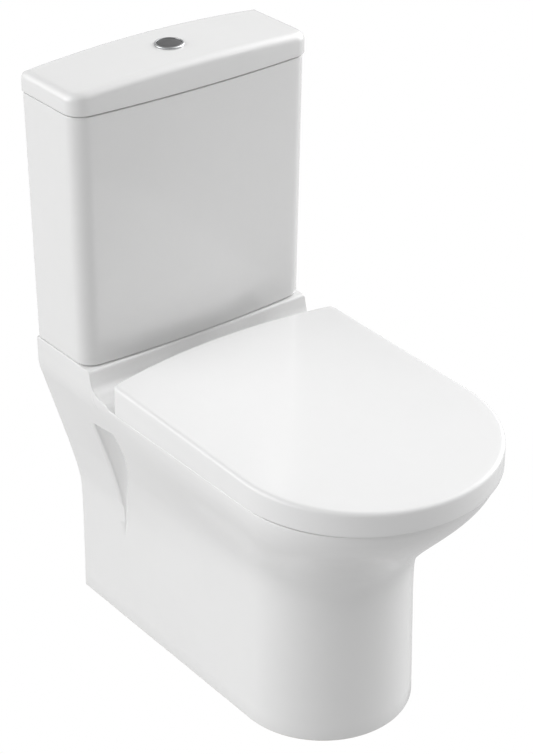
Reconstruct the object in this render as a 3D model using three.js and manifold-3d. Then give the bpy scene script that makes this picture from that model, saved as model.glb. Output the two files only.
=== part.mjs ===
// Close coupled toilet: a back-to-wall pan, a cistern with its flush and fill valves, and a
// soft-close seat whose lid wraps over the ring. Units are millimetres, +Z is up, the front
// faces -Y and the origin is on the floor under the middle of the object.
import * as THREE from 'three';
import { ParametricGeometry } from 'three/addons/geometries/ParametricGeometry.js';
import { mergeVertices } from 'three/addons/utils/BufferGeometryUtils.js';
import Module from 'manifold-3d';

const wasm = await Module();
wasm.setup();

// Driving dimensions. A distance "out" is measured from the wall plane towards the front.
const DEPTH = 635.5;
const WALL = DEPTH / 2;
const GAP = 0.3;

const PAN = {
  wall: 12,
  baseHalf: 122,
  topHalf: 179.5,
  noseOut: 512,
  rimOut: 626,
  rimCentreOut: 468,
  rimZ: 391,
  edge: 6,
  draft: 0.018,
  flareZ: 185,
  flareSoft: 23.5,
  flareSlope: 0.305,
  draftTopZ: 258,
  bowlFootZ: 150,
  bowlZ: 226.2,
  bowlSoft: 28,
  bowlStart: 2.103,
  bowlPower: 0.614,
};
const PLATFORM = {
  z: 428.5,
  out: 124.5,
  fillet: 28,
  deckZ: 396,
  deckOut: 160,
  rimOut: 168,
  holeRadius: 46,
  inletRadius: 39.5,
  plate: 13,
};
const GILL = {
  rearOut: 107, width: 52.5, topZ: 343, bottomZ: 128, depth: 25, step: 3,
  crest: 0.1, power: 2.95, slope: 0.153,
};
const BOWL = {
  half: 133,
  rearOut: 238,
  frontOut: 584,
  depthZ: 145,
  wall: 12,
  sumpHalf: 38,
  sumpRearOut: 266,
  sumpFrontOut: 348,
  wellZ: 88,
  wellTopZ: 190,
};
const TRAP = { bore: 35, wall: 11, dipZ: 123, outletZ: 185, outletOut: 55, spigotRadius: 51, sides: 14 };

const TANK = {
  backOut: 5.2,
  bottomZ: 429,
  topZ: 780.5,
  halfBottom: 180.5,
  halfTop: 183.5,
  depthBottom: 113,
  depthTop: 119,
  bow: 9.2,
  corner: 26,
  wall: 10,
  floor: 12,
};
const TANK_LID = { overhang: 1.8, seam: 0.6, topZ: 820, drop: 9.2, edge: 11, shell: 11, lipDepth: 8 };
const BUTTON = { out: 67.8, radius: 16.5, bezel: 19.6, barrel: 18 };

const SEAT = {
  lidHalf: 182,
  arcOut: 457.4,
  rearOut: 160.3,
  rearBow: 21.2,
  lidBottomZ: 394,
  lidRearZ: 436.5,
  lidFrontZ: 425.5,
  lidShell: 5,
  lidEdge: 5,
  ringInset: 7.5,
  ringRearOut: 205.5,
  ringBottomZ: 397,
  ringTopZ: 416,
  openingHalf: 105,
  openingRearOut: 262.5,
};
const HINGE = { out: 178.5, z: 419, x: 77.5, pin: 4, postWidth: 10, barrel: 8.5, boltOut: 192.5 };

const FLOOR_Z = TANK.bottomZ + TANK.floor;
const FILL = { x: -120, out: 66 };
const COUPLING_X = 75;

const FINISH = {
  ceramic: { color: 0xf4f4f2, roughness: 0.12, metalness: 0 },
  seatPlastic: { color: 0xf6f6f5, roughness: 0.18, metalness: 0 },
  chrome: { color: 0xb9bcc0, roughness: 0.15, metalness: 1 },
  rubber: { color: 0x2b2b2c, roughness: 0.8, metalness: 0 },
  greyRubber: { color: 0x8e9092, roughness: 0.75, metalness: 0 },
  whitePlastic: { color: 0xe9e9e6, roughness: 0.45, metalness: 0 },
  bluePlastic: { color: 0x3c6ea8, roughness: 0.45, metalness: 0 },
  steel: { color: 0xa9abad, roughness: 0.35, metalness: 1 },
  brass: { color: 0xb5954f, roughness: 0.35, metalness: 1 },
};

const toilet = new THREE.Group();

// ---- Solids

// Y of a place that lies a distance out from the wall.
const atOut = (out) => WALL - out;

// A closed three.js geometry as a solid, with shared corners merged and empty faces left out.
// Where the profile ran the other way round, its faces are turned outwards.
function solid(geometry) {
  const bare = geometry.clone();
  bare.deleteAttribute('normal');
  bare.deleteAttribute('uv');
  const merged = mergeVertices(bare, 1e-4);
  const index = merged.index.array;
  const kept = [];
  for (let i = 0; i < index.length; i += 3) {
    const [a, b, c] = [index[i], index[i + 1], index[i + 2]];
    if (a !== b && b !== c && c !== a) kept.push(a, b, c);
  }
  const vertProperties = merged.attributes.position.array;
  const build = (triVerts) => new wasm.Manifold(new wasm.Mesh({ numProp: 3, vertProperties, triVerts }));
  const shape = build(new Uint32Array(kept));
  return shape.volume() < 0 ? build(new Uint32Array(kept.reverse())) : shape;
}

const join = (...shapes) => shapes.reduce((all, shape) => all.add(shape));
const cut = (shape, ...tools) => tools.reduce((left, tool) => left.subtract(tool), shape);
const shift = (shape, x, y, z) => shape.translate([x, y, z]);
const mirrored = (shape) => shape.mirror([1, 0, 0]);

// The biggest of a solid's separate lumps.
function largest(shape) {
  return shape.decompose().sort((a, b) => b.volume() - a.volume())[0];
}

// The mean place of a ring of points.
function middle(ring) {
  return ring.reduce((sum, point) => sum.add(point), new THREE.Vector3()).divideScalar(ring.length);
}

// A solid skinned over levels of points: each level is a ring of Vector3, lowest first. The
// faces that close it meet at the middle of its lowest ring and at its peak.
function loft(levels, peak = middle(levels.at(-1))) {
  const around = levels[0].length;
  const stacks = levels.length + 1;
  const place = (u, v, target) => {
    const row = Math.round(v * stacks);
    if (row === 0) return target.copy(middle(levels[0]));
    if (row === stacks) return target.copy(peak);
    return target.copy(levels[row - 1][Math.round(u * around) % around]);
  };
  return solid(new ParametricGeometry(place, around, stacks));
}

// A box between two corners, with its depth given out from the wall.
function block([x0, x1], [out0, out1], [z0, z1]) {
  const box = new THREE.BoxGeometry(x1 - x0, out1 - out0, z1 - z0);
  box.translate((x0 + x1) / 2, atOut((out0 + out1) / 2), (z0 + z1) / 2);
  return solid(box);
}

// A ring or disc about an upright axis: the section is a list of [radius, z] corners.
function turned(section, x, out, sides = 24) {
  const lathe = new THREE.LatheGeometry(section.map(([r, z]) => new THREE.Vector2(r, z)), sides);
  lathe.rotateX(Math.PI / 2);
  return shift(solid(lathe), x, atOut(out), 0);
}

const disc = (radius, z0, z1, x, out, sides) =>
  turned([[0, z0], [radius, z0], [radius, z1], [0, z1]], x, out, sides);

const tube = (inner, outer, z0, z1, x, out, sides) =>
  turned([[inner, z0], [outer, z0], [outer, z1], [inner, z1], [inner, z0]], x, out, sides);

// A nut with flat sides about a round bore that clears the radius given.
function nut(bore, outer, z0, z1, x, out, sides) {
  const boreSides = 24;
  const clear = bore / Math.cos(Math.PI / boreSides);
  return cut(disc(outer, z0, z1, x, out, sides), disc(clear, z0 - 1, z1 + 1, x, out, boreSides));
}

// A round bar that lies along X on the seat's hinge axis.
function axle(radius, x0, x1, sides = 16) {
  const bar = new THREE.CylinderGeometry(radius, radius, x1 - x0, sides);
  bar.rotateZ(Math.PI / 2);
  bar.translate((x0 + x1) / 2, atOut(HINGE.out), HINGE.z);
  return solid(bar);
}

// Adds a solid to the toilet as a named mesh of its own.
function addNode(name, shape, finish) {
  const { vertProperties, triVerts } = shape.getMesh();
  const geometry = new THREE.BufferGeometry();
  geometry.setAttribute('position', new THREE.BufferAttribute(vertProperties, 3));
  geometry.setIndex(new THREE.BufferAttribute(triVerts, 1));
  geometry.computeVertexNormals();
  const mesh = new THREE.Mesh(geometry, new THREE.MeshStandardMaterial(FINISH[finish]));
  mesh.name = name;
  toilet.add(mesh);
}

// Adds a solid and its mirror image across the middle plane.
function addPair(name, shape, finish) {
  addNode(`${name}_right`, shape, finish);
  addNode(`${name}_left`, mirrored(shape), finish);
}

const smooth = (t) => {
  const s = Math.min(Math.max(t, 0), 1);
  return s * s * (3 - 2 * s);
};

// How far a rounded edge of one radius has drawn in at a height below its top.
function roundedInset(radius, belowTop) {
  if (belowTop >= radius) return 0;
  const rise = radius - belowTop;
  return radius - Math.sqrt(radius * radius - rise * rise);
}

// ---- Pan

// How far the column has drawn in at a height, for the casting's draft.
const drawnIn = (z) => PAN.draft * Math.min(z, PAN.draftTopZ);

// Nought well below zero and t well above it, with a bend of the given width between.
const softRamp = (t, width) => (t + Math.hypot(t, width)) / 2;

// Half width of the closed sides at the wall: a straight flare with a soft start.
function backHalf(z) {
  const flare = PAN.flareSlope * softRamp(z - PAN.flareZ, PAN.flareSoft);
  return Math.min(PAN.baseHalf - drawnIn(z) + flare, PAN.topHalf);
}

// Share of the way from the column's nose to the rim, by height: the bulge of the bowl, which
// grows out of the column through a wide hollow.
function bulge(z) {
  const rise = (level) => softRamp(level - PAN.bowlZ, PAN.bowlSoft);
  const foot = rise(PAN.bowlFootZ);
  const t = THREE.MathUtils.clamp((rise(z) - foot) / (rise(PAN.rimZ) - foot), 0, 1);
  return Math.sin((t ** PAN.bowlStart * Math.PI) / 2) ** PAN.bowlPower;
}

// Half width of the round front and how far out its centre and its nose are, by height.
function noseAt(z) {
  const share = bulge(z);
  const columnCentre = PAN.noseOut - PAN.baseHalf;
  return {
    half: THREE.MathUtils.lerp(PAN.baseHalf - drawnIn(z), PAN.topHalf, share),
    centre: THREE.MathUtils.lerp(columnCentre, PAN.rimCentreOut, share),
    nose: THREE.MathUtils.lerp(PAN.noseOut - drawnIn(z), PAN.rimOut, share),
  };
}

// Half width of the sides, which pass smoothly from the flare at the wall to the round front.
function sideHalf(z, out) {
  const { half, centre } = noseAt(z);
  return THREE.MathUtils.lerp(backHalf(z), half, smooth(out / centre));
}

// Plan outline of the pan at a height, drawn in by an inset, with its back edge at backOut.
function panRing(z, inset, backOut) {
  const arcSteps = 16;
  const sideSteps = 6;
  const { half, centre, nose } = noseAt(z);
  const right = [];
  for (let i = 0; i < sideSteps; i++) {
    const out = THREE.MathUtils.lerp(backOut, centre, i / sideSteps);
    right.push([sideHalf(z, out) - inset, out]);
  }
  for (let i = 0; i < arcSteps / 2; i++) {
    const angle = (i / arcSteps) * Math.PI;
    const reach = nose - inset - centre;
    right.push([(half - inset) * Math.cos(angle), centre + reach * Math.sin(angle)]);
  }
  const left = right.map(([x, out]) => [-x, out]).reverse();
  return [...right, [0, nose - inset], ...left].map(([x, out]) => new THREE.Vector3(x, atOut(out), z));
}

function panOuter() {
  const heights = [0, 150, 180, 205, 225, 240, 255, 270, 286, 304, 326, 352];
  const top = PAN.rimZ;
  heights.push(top - PAN.edge, top - PAN.edge * 0.5, top - PAN.edge * 0.15, top);
  return loft(heights.map((z) => panRing(z, roundedInset(PAN.edge, top - z), 0)));
}

// The raised shelf under the cistern, the hollow curve down to the deck in front of it, and the
// slope from the deck to the rim that the seat covers.
function platform() {
  const shape = new THREE.Shape();
  const { out, fillet, z, deckZ, deckOut, rimOut } = PLATFORM;
  const foot = PAN.rimZ - 10;
  shape.moveTo(0, foot);
  shape.lineTo(0, z);
  shape.lineTo(out - 4, z);
  shape.quadraticCurveTo(out, z, out + 1, z - 5);
  shape.quadraticCurveTo(out + 5, deckZ, out + fillet, deckZ);
  shape.lineTo(deckOut, deckZ);
  shape.lineTo(rimOut, PAN.rimZ);
  shape.lineTo(rimOut, foot);
  const width = 2 * (PAN.topHalf - 0.01);
  const profile = new THREE.ExtrudeGeometry(shape, { depth: width, bevelEnabled: false, curveSegments: 6 });
  profile.rotateX(Math.PI / 2);
  profile.rotateZ(-Math.PI / 2);
  profile.translate(width / 2, WALL, 0);
  return solid(profile);
}

// Plan outline of the bowl's inside: round front, straight sides and a rounder back.
function bowlRing(z, half, rearOut, frontOut, grow) {
  const steps = 10;
  const wide = half + grow;
  const front = frontOut + grow;
  const rear = rearOut - grow;
  const frontCentre = front - Math.min(wide, (front - rear) / 2);
  const rearCentre = rear + Math.min(wide * 0.8, (front - rear) / 2 - 1);
  const points = [];
  for (let i = 0; i <= steps; i++) {
    const angle = (i / steps) * Math.PI;
    points.push([wide * Math.cos(angle), frontCentre + (front - frontCentre) * Math.sin(angle)]);
  }
  for (let i = 0; i <= steps; i++) {
    const angle = Math.PI + (i / steps) * Math.PI;
    points.push([wide * Math.cos(angle), rearCentre + (rearCentre - rear) * Math.sin(angle)]);
  }
  return points.map(([x, out]) => new THREE.Vector3(x, atOut(out), z));
}

// The bowl's inside, from the sump up through the rim, or its outer skin when grown.
function bowlShape(grow) {
  const levels = [];
  const steps = 8;
  for (let i = 0; i <= steps; i++) {
    const rise = i / steps;
    const z = BOWL.depthZ - grow + rise * (PAN.rimZ + 1 - BOWL.depthZ + grow);
    const spread = Math.sin((rise * Math.PI) / 2) ** 0.9;
    const half = THREE.MathUtils.lerp(BOWL.sumpHalf, BOWL.half, spread);
    const rear = THREE.MathUtils.lerp(BOWL.sumpRearOut, BOWL.rearOut, spread);
    const front = THREE.MathUtils.lerp(BOWL.sumpFrontOut, BOWL.frontOut, spread ** 1.6);
    levels.push(bowlRing(z, half, rear, front, grow));
  }
  return loft(levels);
}

// The well under the bowl that holds the trap's water, or its outer skin when grown.
function sumpWell(grow) {
  const { wellZ, wellTopZ, sumpHalf, sumpRearOut, sumpFrontOut } = BOWL;
  const bend = 12;
  return loft([
    bowlRing(wellZ - grow, sumpHalf - bend, sumpRearOut + bend, sumpFrontOut - bend, grow),
    bowlRing(wellZ + bend - grow, sumpHalf, sumpRearOut, sumpFrontOut, grow),
    bowlRing(wellTopZ, sumpHalf, sumpRearOut, sumpFrontOut, grow),
  ]);
}

// The water trap: a tube from the well, under the dam, up over the weir and down to the level
// outlet. The weir stands above the foot of the dam, so water stays in the trap.
function trapTube(radius, startOut, endOut) {
  const { dipZ, outletZ } = TRAP;
  const route = [
    [startOut, dipZ], [275, dipZ], [228, 140], [200, 178], [172, 214], [138, 228], [98, 207],
    [endOut, outletZ],
  ];
  const path = new THREE.CatmullRomCurve3(
    route.map(([out, z]) => new THREE.Vector3(0, atOut(out), z)), false, 'centripetal');
  const section = new THREE.Shape().absarc(0, 0, radius, 0, 2 * Math.PI);
  const options = { steps: 20, extrudePath: path, curveSegments: TRAP.sides / 2 };
  return solid(new THREE.ExtrudeGeometry(section, options));
}

// A side recess: shallow along its rear edge and deepest along its curved front edge, with a top
// edge that climbs a little towards the front.
function gill(grow) {
  const levels = [];
  const steps = 9;
  const slopeFromZ = GILL.topZ - 43;
  for (let i = 0; i <= steps; i++) {
    const down = 1 - i / steps;
    const z = THREE.MathUtils.lerp(GILL.topZ + grow, GILL.bottomZ - grow, down);
    const round = down < GILL.crest ? 1 - 0.11 * (1 - down / GILL.crest) ** 2 : 1;
    const turn = Math.max(0, (down - GILL.crest) / (1 - GILL.crest));
    const width = GILL.width * round * Math.cos((Math.PI / 2) * turn) ** GILL.power + 0.5;
    const share = width / GILL.width;
    const deep = GILL.depth * share + grow;
    const [rear, front] = [GILL.rearOut - grow, GILL.rearOut + width + grow];
    const [rearSkin, frontSkin] = [sideHalf(z, rear), sideHalf(z, front)];
    const drop = GILL.slope * (front - rear) * THREE.MathUtils.clamp((z - slopeFromZ) / 40, 0, 1);
    const corners = [
      [rearSkin + 40, rear, z - drop], [frontSkin + 40, front, z], [frontSkin - deep, front, z],
      [rearSkin - grow - GILL.step * share, rear, z - drop],
    ];
    levels.push(corners.map(([x, out, height]) => new THREE.Vector3(x, atOut(out), height)));
  }
  return loft(levels);
}

function bothSides(shape) {
  return join(shape, mirrored(shape));
}

function makePan() {
  const wall = PAN.wall;
  const underDeck = PAN.rimZ - PLATFORM.plate;
  const underPlatform = PLATFORM.z - PLATFORM.plate;
  const hollowLevels = [-1, 130, 180, 205, 228, 246, 262, 280, 302, 330, underDeck];
  const skirtHollow = loft(hollowLevels.map((z) => panRing(z, wall, -1)));
  const pocketHalf = PAN.topHalf - wall;
  const pocket = block([-pocketHalf, pocketHalf], [-1, 106], [underDeck - 12, underPlatform]);
  const channelZ = [underDeck - 34, underDeck];
  const channelHalf = 36;
  const outlet = TRAP.outletOut;
  const spigot = (radius, out0, out1) => {
    const bar = new THREE.CylinderGeometry(radius, radius, out1 - out0, 24);
    bar.translate(0, atOut((out0 + out1) / 2), 0);
    return shift(solid(bar), 0, 0, TRAP.outletZ);
  };
  const keep = join(
    bowlShape(BOWL.wall),
    sumpWell(BOWL.wall),
    trapTube(TRAP.bore + TRAP.wall, 300, outlet),
    spigot(TRAP.spigotRadius, outlet, outlet + 35),
    block([-channelHalf - wall, channelHalf + wall], [20, 250], [channelZ[0] - wall, underDeck + 1]),
    disc(PLATFORM.holeRadius + wall, channelZ[0] - wall, PLATFORM.z, 0, BUTTON.out, 32),
    bothSides(gill(10)),
  );
  const hollow = largest(cut(join(skirtHollow, pocket), keep));
  const inlet = join(
    disc(PLATFORM.inletRadius, channelZ[0], PLATFORM.z, 0, BUTTON.out, 32),
    disc(PLATFORM.holeRadius, PLATFORM.z - 14.5, PLATFORM.z + 1, 0, BUTTON.out, 32),
    block([-channelHalf, channelHalf], [BUTTON.out, 256], channelZ),
  );
  const couplingHole = disc(6, underPlatform - 1, PLATFORM.z + 1, COUPLING_X, BUTTON.out, 16);
  const seatHole = disc(6.4, underDeck - 1, PAN.rimZ + 1, HINGE.x, HINGE.boltOut, 16);
  const pan = cut(
    join(panOuter(), platform()),
    hollow,
    bowlShape(0),
    sumpWell(0),
    trapTube(TRAP.bore, 320, outlet - 1),
    spigot(TRAP.bore + 6, outlet - 1, outlet + 20),
    inlet,
    bothSides(gill(0)),
    bothSides(couplingHole),
    bothSides(seatHole),
    disc(22, underPlatform - 1, PLATFORM.z + 1, FILL.x, FILL.out, 24),
  );
  addNode('pan', pan, 'ceramic');
}

// ---- Cistern

// Plan outline of the cistern or its lid: square back corners, round front corners, bowed front.
function tankRing(halfWidth, depth, inset, height) {
  const backSteps = 6;
  const cornerSteps = 5;
  const frontSteps = 8;
  const half = halfWidth - inset;
  const back = TANK.backOut + inset;
  const front = TANK.backOut + depth - inset;
  const radius = Math.max(TANK.corner - inset, 4);
  const bowAt = (x) => TANK.bow * (1 - (x / halfWidth) ** 2);
  const straight = half - radius;
  const right = [];
  for (let i = 0; i <= backSteps / 2; i++) right.push([(2 * i * half) / backSteps, back]);
  for (let i = 0; i < cornerSteps; i++) {
    const angle = (i / cornerSteps) * (Math.PI / 2);
    const out = front + bowAt(straight) - radius + radius * Math.sin(angle);
    right.push([straight + radius * Math.cos(angle), out]);
  }
  for (let i = 0; i < frontSteps / 2; i++) {
    const x = straight * (1 - (2 * i) / frontSteps);
    right.push([x, front + bowAt(x)]);
  }
  const left = right.slice(1).map(([x, out]) => [-x, out]).reverse();
  const ring = [...right, [0, front + TANK.bow], ...left];
  return ring.map(([x, out]) => new THREE.Vector3(x, atOut(out), height(x)));
}

// One level of the tank body, which tapers slightly towards its floor.
function bodyRing(z, inset) {
  const t = (z - TANK.bottomZ) / (TANK.topZ - TANK.bottomZ);
  const half = THREE.MathUtils.lerp(TANK.halfBottom, TANK.halfTop, t);
  const depth = THREE.MathUtils.lerp(TANK.depthBottom, TANK.depthTop, t);
  return tankRing(half, depth, inset, () => z);
}

function makeTank() {
  const { bottomZ, topZ, wall } = TANK;
  const outer = loft([bodyRing(bottomZ, 2), bodyRing(bottomZ + 2, 0), bodyRing(topZ, 0)]);
  const inner = loft([bodyRing(FLOOR_Z, wall + 6), bodyRing(FLOOR_Z + 6, wall), bodyRing(topZ + 1, wall)]);
  const hole = (radius, x, out) => disc(radius, bottomZ - 1, FLOOR_Z + 1, x, out, 24);
  const tank = cut(
    outer,
    inner,
    hole(31.5, 0, BUTTON.out),
    bothSides(hole(5.5, COUPLING_X, BUTTON.out)),
    hole(12, FILL.x, FILL.out),
  );
  addNode('cistern_tank', tank, 'ceramic');
}

// Height of the cistern lid's top, which is crowned from side to side.
const crown = (x) => TANK_LID.topZ - TANK_LID.drop * (x / TANK.halfTop) ** 2;

// A loft whose top follows a height that changes from side to side.
function crownedLoft(levels, height) {
  const rim = levels.at(-1);
  const centre = middle(rim);
  const shrink = (share) => rim.map((point) => {
    const x = point.x * share;
    return new THREE.Vector3(x, THREE.MathUtils.lerp(centre.y, point.y, share), height(x));
  });
  const peak = new THREE.Vector3(0, centre.y, height(0));
  return loft([...levels, ...[0.75, 0.5, 0.25].map(shrink)], peak);
}

function makeTankLid() {
  const { overhang, seam, edge, shell, lipDepth } = TANK_LID;
  const half = TANK.halfTop + overhang;
  const depth = TANK.depthTop + overhang;
  const under = TANK.topZ + seam;
  const ring = (inset, height) => tankRing(half, depth, inset, height);
  const curve = [1, 0.6, 0.3, 0.1, 0].map((down) => [roundedInset(edge, down * edge), down * edge]);
  const topRings = curve.map(([inset, below]) => ring(inset, (x) => crown(x) - below));
  const outer = crownedLoft([ring(1, () => under), ring(0, () => under + 1), ...topRings], crown);
  const pocketInset = TANK.wall + overhang + 6;
  const ceiling = (x) => crown(x) - shell;
  const pocketFoot = ring(pocketInset, () => under - lipDepth - 1);
  const pocket = crownedLoft([pocketFoot, ring(pocketInset, ceiling)], ceiling);
  const lipInset = TANK.wall + overhang + 2;
  const lip = loft([ring(lipInset, () => under - lipDepth), ring(lipInset, () => under + 1)]);
  const hole = disc(BUTTON.barrel + GAP, under, TANK_LID.topZ + 2, 0, BUTTON.out, 32);
  addNode('cistern_lid', cut(join(outer, lip), pocket, hole), 'ceramic');
}

// ---- Button on the cistern lid

// Depths below the lid's top, and the sizes of the stem and the push rod's plate.
const STEM = { radius: 4, depth: 30, floorDepth: 24, plateDepth: 4 };
const PUSH_ROD = { radius: 3, plateRadius: 26, plate: 3, depth: 78 };
const SPRING = { radius: 9, wire: 0.8, turns: 5 };
const BUTTON_NUT = { radius: 25, topDepth: 12.2, depth: 20 };

function makeButton() {
  const top = TANK_LID.topZ;
  const { radius, bezel, barrel, out } = BUTTON;
  const bore = radius + 0.4;
  const floor = top - STEM.floorDepth;
  const housing = [
    [5, floor], [barrel, floor], [barrel, top + GAP], [bezel, top + GAP], [bezel, top + 1.6],
    [bezel - 1, top + 2.5], [bore, top + 2.5], [bore, floor + 2], [5, floor + 2], [5, floor],
  ];
  addNode('button_housing', turned(housing, 0, out, 32), 'chrome');
  const stemFoot = top - STEM.depth;
  const plate = top - STEM.plateDepth;
  const button = [
    [0, stemFoot], [STEM.radius, stemFoot], [STEM.radius, plate], [radius, plate], [radius, top + 1.4],
    [radius - 1, top + 2.2], [radius * 0.5, top + 2.5], [0, top + 2.6],
  ];
  addNode('flush_button', turned(button, 0, out, 32), 'chrome');
  addNode('button_spring', springCoil(floor + 2 + GAP, plate - GAP, SPRING), 'steel');
  const nutZ = [top - BUTTON_NUT.depth, top - BUTTON_NUT.topDepth];
  addNode('button_nut', nut(barrel + GAP, BUTTON_NUT.radius, ...nutZ, 0, out, 12), 'whitePlastic');
  const foot = top - PUSH_ROD.depth;
  const plateTop = foot + PUSH_ROD.plate;
  const rod = [
    [0, foot], [PUSH_ROD.plateRadius, foot], [PUSH_ROD.plateRadius, plateTop], [PUSH_ROD.radius, plateTop],
    [PUSH_ROD.radius, stemFoot - GAP], [0, stemFoot - GAP],
  ];
  addNode('push_rod', turned(rod, 0, out, 20), 'whitePlastic');
}

// A coil spring about the button's axis, between two heights.
function springCoil(z0, z1, { radius, wire, turns }) {
  class Coil extends THREE.Curve {
    getPoint(t, target = new THREE.Vector3()) {
      const angle = 2 * Math.PI * turns * t;
      const z = THREE.MathUtils.lerp(z0 + wire, z1 - wire, t);
      return target.set(radius * Math.cos(angle), atOut(BUTTON.out) + radius * Math.sin(angle), z);
    }
  }
  const section = new THREE.Shape().absarc(0, 0, wire, 0, 2 * Math.PI);
  const options = { steps: turns * 10, extrudePath: new Coil(), curveSegments: 2 };
  return solid(new THREE.ExtrudeGeometry(section, options));
}

// ---- Flush valve, under the button

// Radii of the outlet pipe, its flange and the overflow tube, and heights above the valve's seat.
const FLUSH = {
  pipeBore: 25, pipe: 30, flange: 38, cage: 36, cageHeight: 100, tubeBore: 13, tube: 16, disc: 27,
  overflowZ: 690, headDepth: 26, headRadius: 31, legX: 26, plungerX: 23, plunger: 4,
};

function makeFlushValve() {
  const out = BUTTON.out;
  const washerZ = FLOOR_Z + GAP;
  const flangeZ = washerZ + 3;
  const seatZ = flangeZ + 5;
  const cageTop = seatZ + FLUSH.cageHeight;
  const { pipeBore, pipe, flange: rim } = FLUSH;
  const foot = PLATFORM.z - 30;
  const flange = [
    [pipeBore, foot], [pipe, foot], [pipe, flangeZ], [rim, flangeZ], [rim, seatZ - 1],
    [pipeBore + 2, seatZ - 1], [pipeBore + 1, seatZ], [pipeBore, seatZ], [pipeBore, foot],
  ];
  const posts = [0, 1, 2, 3].map((quarter) => {
    const post = new THREE.BoxGeometry(4, 9, cageTop - seatZ);
    post.translate(33, 0, (cageTop + seatZ) / 2 - 1);
    post.rotateZ((quarter * Math.PI) / 2 + Math.PI / 4);
    return shift(solid(post), 0, atOut(out), 0);
  });
  const guide = tube(FLUSH.tube + 0.5, FLUSH.cage, cageTop - 8, cageTop, 0, out);
  addNode('flush_valve_base', join(turned(flange, 0, out, 28), ...posts, guide), 'whitePlastic');
  addNode('flush_valve_washer', tube(pipe + GAP, rim, washerZ, flangeZ - GAP, 0, out), 'rubber');
  const backNut = nut(pipe + GAP, rim - 1, PLATFORM.z - 12, PLATFORM.z, 0, out, 12);
  addNode('flush_valve_nut', backNut, 'whitePlastic');
  const donut = [
    [37.6, PLATFORM.z - 14], [43, PLATFORM.z - 14], [45.6, PLATFORM.z - 4], [45.6, PLATFORM.z],
    [37.6, PLATFORM.z], [37.6, PLATFORM.z - 14],
  ];
  addNode('doughnut_washer', turned(donut, 0, out, 28), 'rubber');
  makeValveCore(seatZ, cageTop);
}

// The lifting core with its overflow tube and seal, and the actuator on top of the cage.
function makeValveCore(seatZ, cageTop) {
  const out = BUTTON.out;
  const { tubeBore, tube: tubeRadius, disc: plate, overflowZ, plungerX } = FLUSH;
  const core = [
    [tubeBore, seatZ + 4], [plate, seatZ + 4], [plate, seatZ + 9], [tubeRadius, seatZ + 14],
    [tubeRadius, overflowZ], [tubeBore, overflowZ], [tubeBore, seatZ + 4],
  ];
  addNode('flush_valve_core', turned(core, 0, out), 'bluePlastic');
  addNode('flush_valve_seal', tube(20, 28.4, seatZ + GAP, seatZ + 4 - GAP, 0, out), 'rubber');
  const headZ = overflowZ - FLUSH.headDepth;
  const head = tube(tubeRadius + 0.5, FLUSH.headRadius, headZ, headZ + 18, 0, out, 20);
  const legs = [-1, 1].map((side) =>
    block([side * FLUSH.legX - 3, side * FLUSH.legX + 3], [out - 5, out + 5], [cageTop + GAP, headZ + 5]));
  const bore = disc(FLUSH.plunger + 0.4, headZ + 6, headZ + 20, plungerX, out, 12);
  addNode('flush_actuator', cut(join(head, ...legs), bore), 'whitePlastic');
  const plungerTop = TANK_LID.topZ - PUSH_ROD.depth - GAP;
  addNode('actuator_plunger', disc(FLUSH.plunger, headZ + 15, plungerTop, plungerX, out, 12), 'bluePlastic');
}

// ---- Fill valve, at the left of the cistern

const RISER = { bore: 6, radius: 9, thread: 10.3, flange: 16, topZ: 690, capRadius: 17 };
const FLOAT = { bore: 9.6, sleeve: 12, inner: 24, radius: 26, z: [598, 648], rod: 2, rodX: 22 };

function makeFillValve() {
  const { x, out } = FILL;
  const washerZ = FLOOR_Z + GAP;
  const flangeZ = washerZ + 3;
  const riserTop = RISER.topZ;
  const foot = PLATFORM.z - 36;
  const body = [
    [RISER.bore, foot], [RISER.thread, foot], [RISER.thread, flangeZ], [RISER.flange, flangeZ],
    [RISER.flange, flangeZ + 4], [RISER.radius, flangeZ + 8], [RISER.radius, riserTop],
    [RISER.bore, riserTop], [RISER.bore, foot],
  ];
  addNode('fill_valve_body', turned(body, x, out, 20), 'whitePlastic');
  const washer = tube(RISER.thread + GAP, RISER.flange + 1, washerZ, flangeZ - GAP, x, out, 20);
  addNode('fill_valve_washer', washer, 'rubber');
  const backNut = nut(RISER.thread + GAP, RISER.flange + 1, PLATFORM.z - 10, PLATFORM.z, x, out, 6);
  addNode('fill_valve_nut', backNut, 'whitePlastic');
  const lever = { x: x - 8, z: riserTop + 32, length: 32, thick: 5, width: 6, tilt: 0.2 };
  const ears = [-1, 1].map((side) => {
    const inner = side * (lever.width / 2 + 0.5);
    const outer = inner + side * 3;
    const [near, far] = [Math.min(inner, outer), Math.max(inner, outer)];
    return block([lever.x - 4, lever.x + 4], [out + near, out + far], [riserTop + 20, lever.z + 4]);
  });
  const pivot = new THREE.CylinderGeometry(1.8, 1.8, lever.width + 5, 10);
  pivot.translate(lever.x, atOut(out), lever.z);
  const cap = disc(RISER.capRadius, riserTop + GAP, riserTop + 22, x, out, 20);
  addNode('fill_valve_head', join(cap, ...ears, solid(pivot)), 'whitePlastic');
  addNode('float_lever', leverBar(lever, out), 'bluePlastic');
  addNode('float_cup', floatCup(x, out), 'whitePlastic');
  const rodX = x + FLOAT.rodX;
  const endDrop = (rodX - lever.x) * Math.tan(lever.tilt) + lever.thick / 2 / Math.cos(lever.tilt);
  addNode('float_rod', disc(FLOAT.rod, FLOAT.z[1] + GAP, lever.z - endDrop - 1, rodX, out, 10), 'brass');
}

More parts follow.
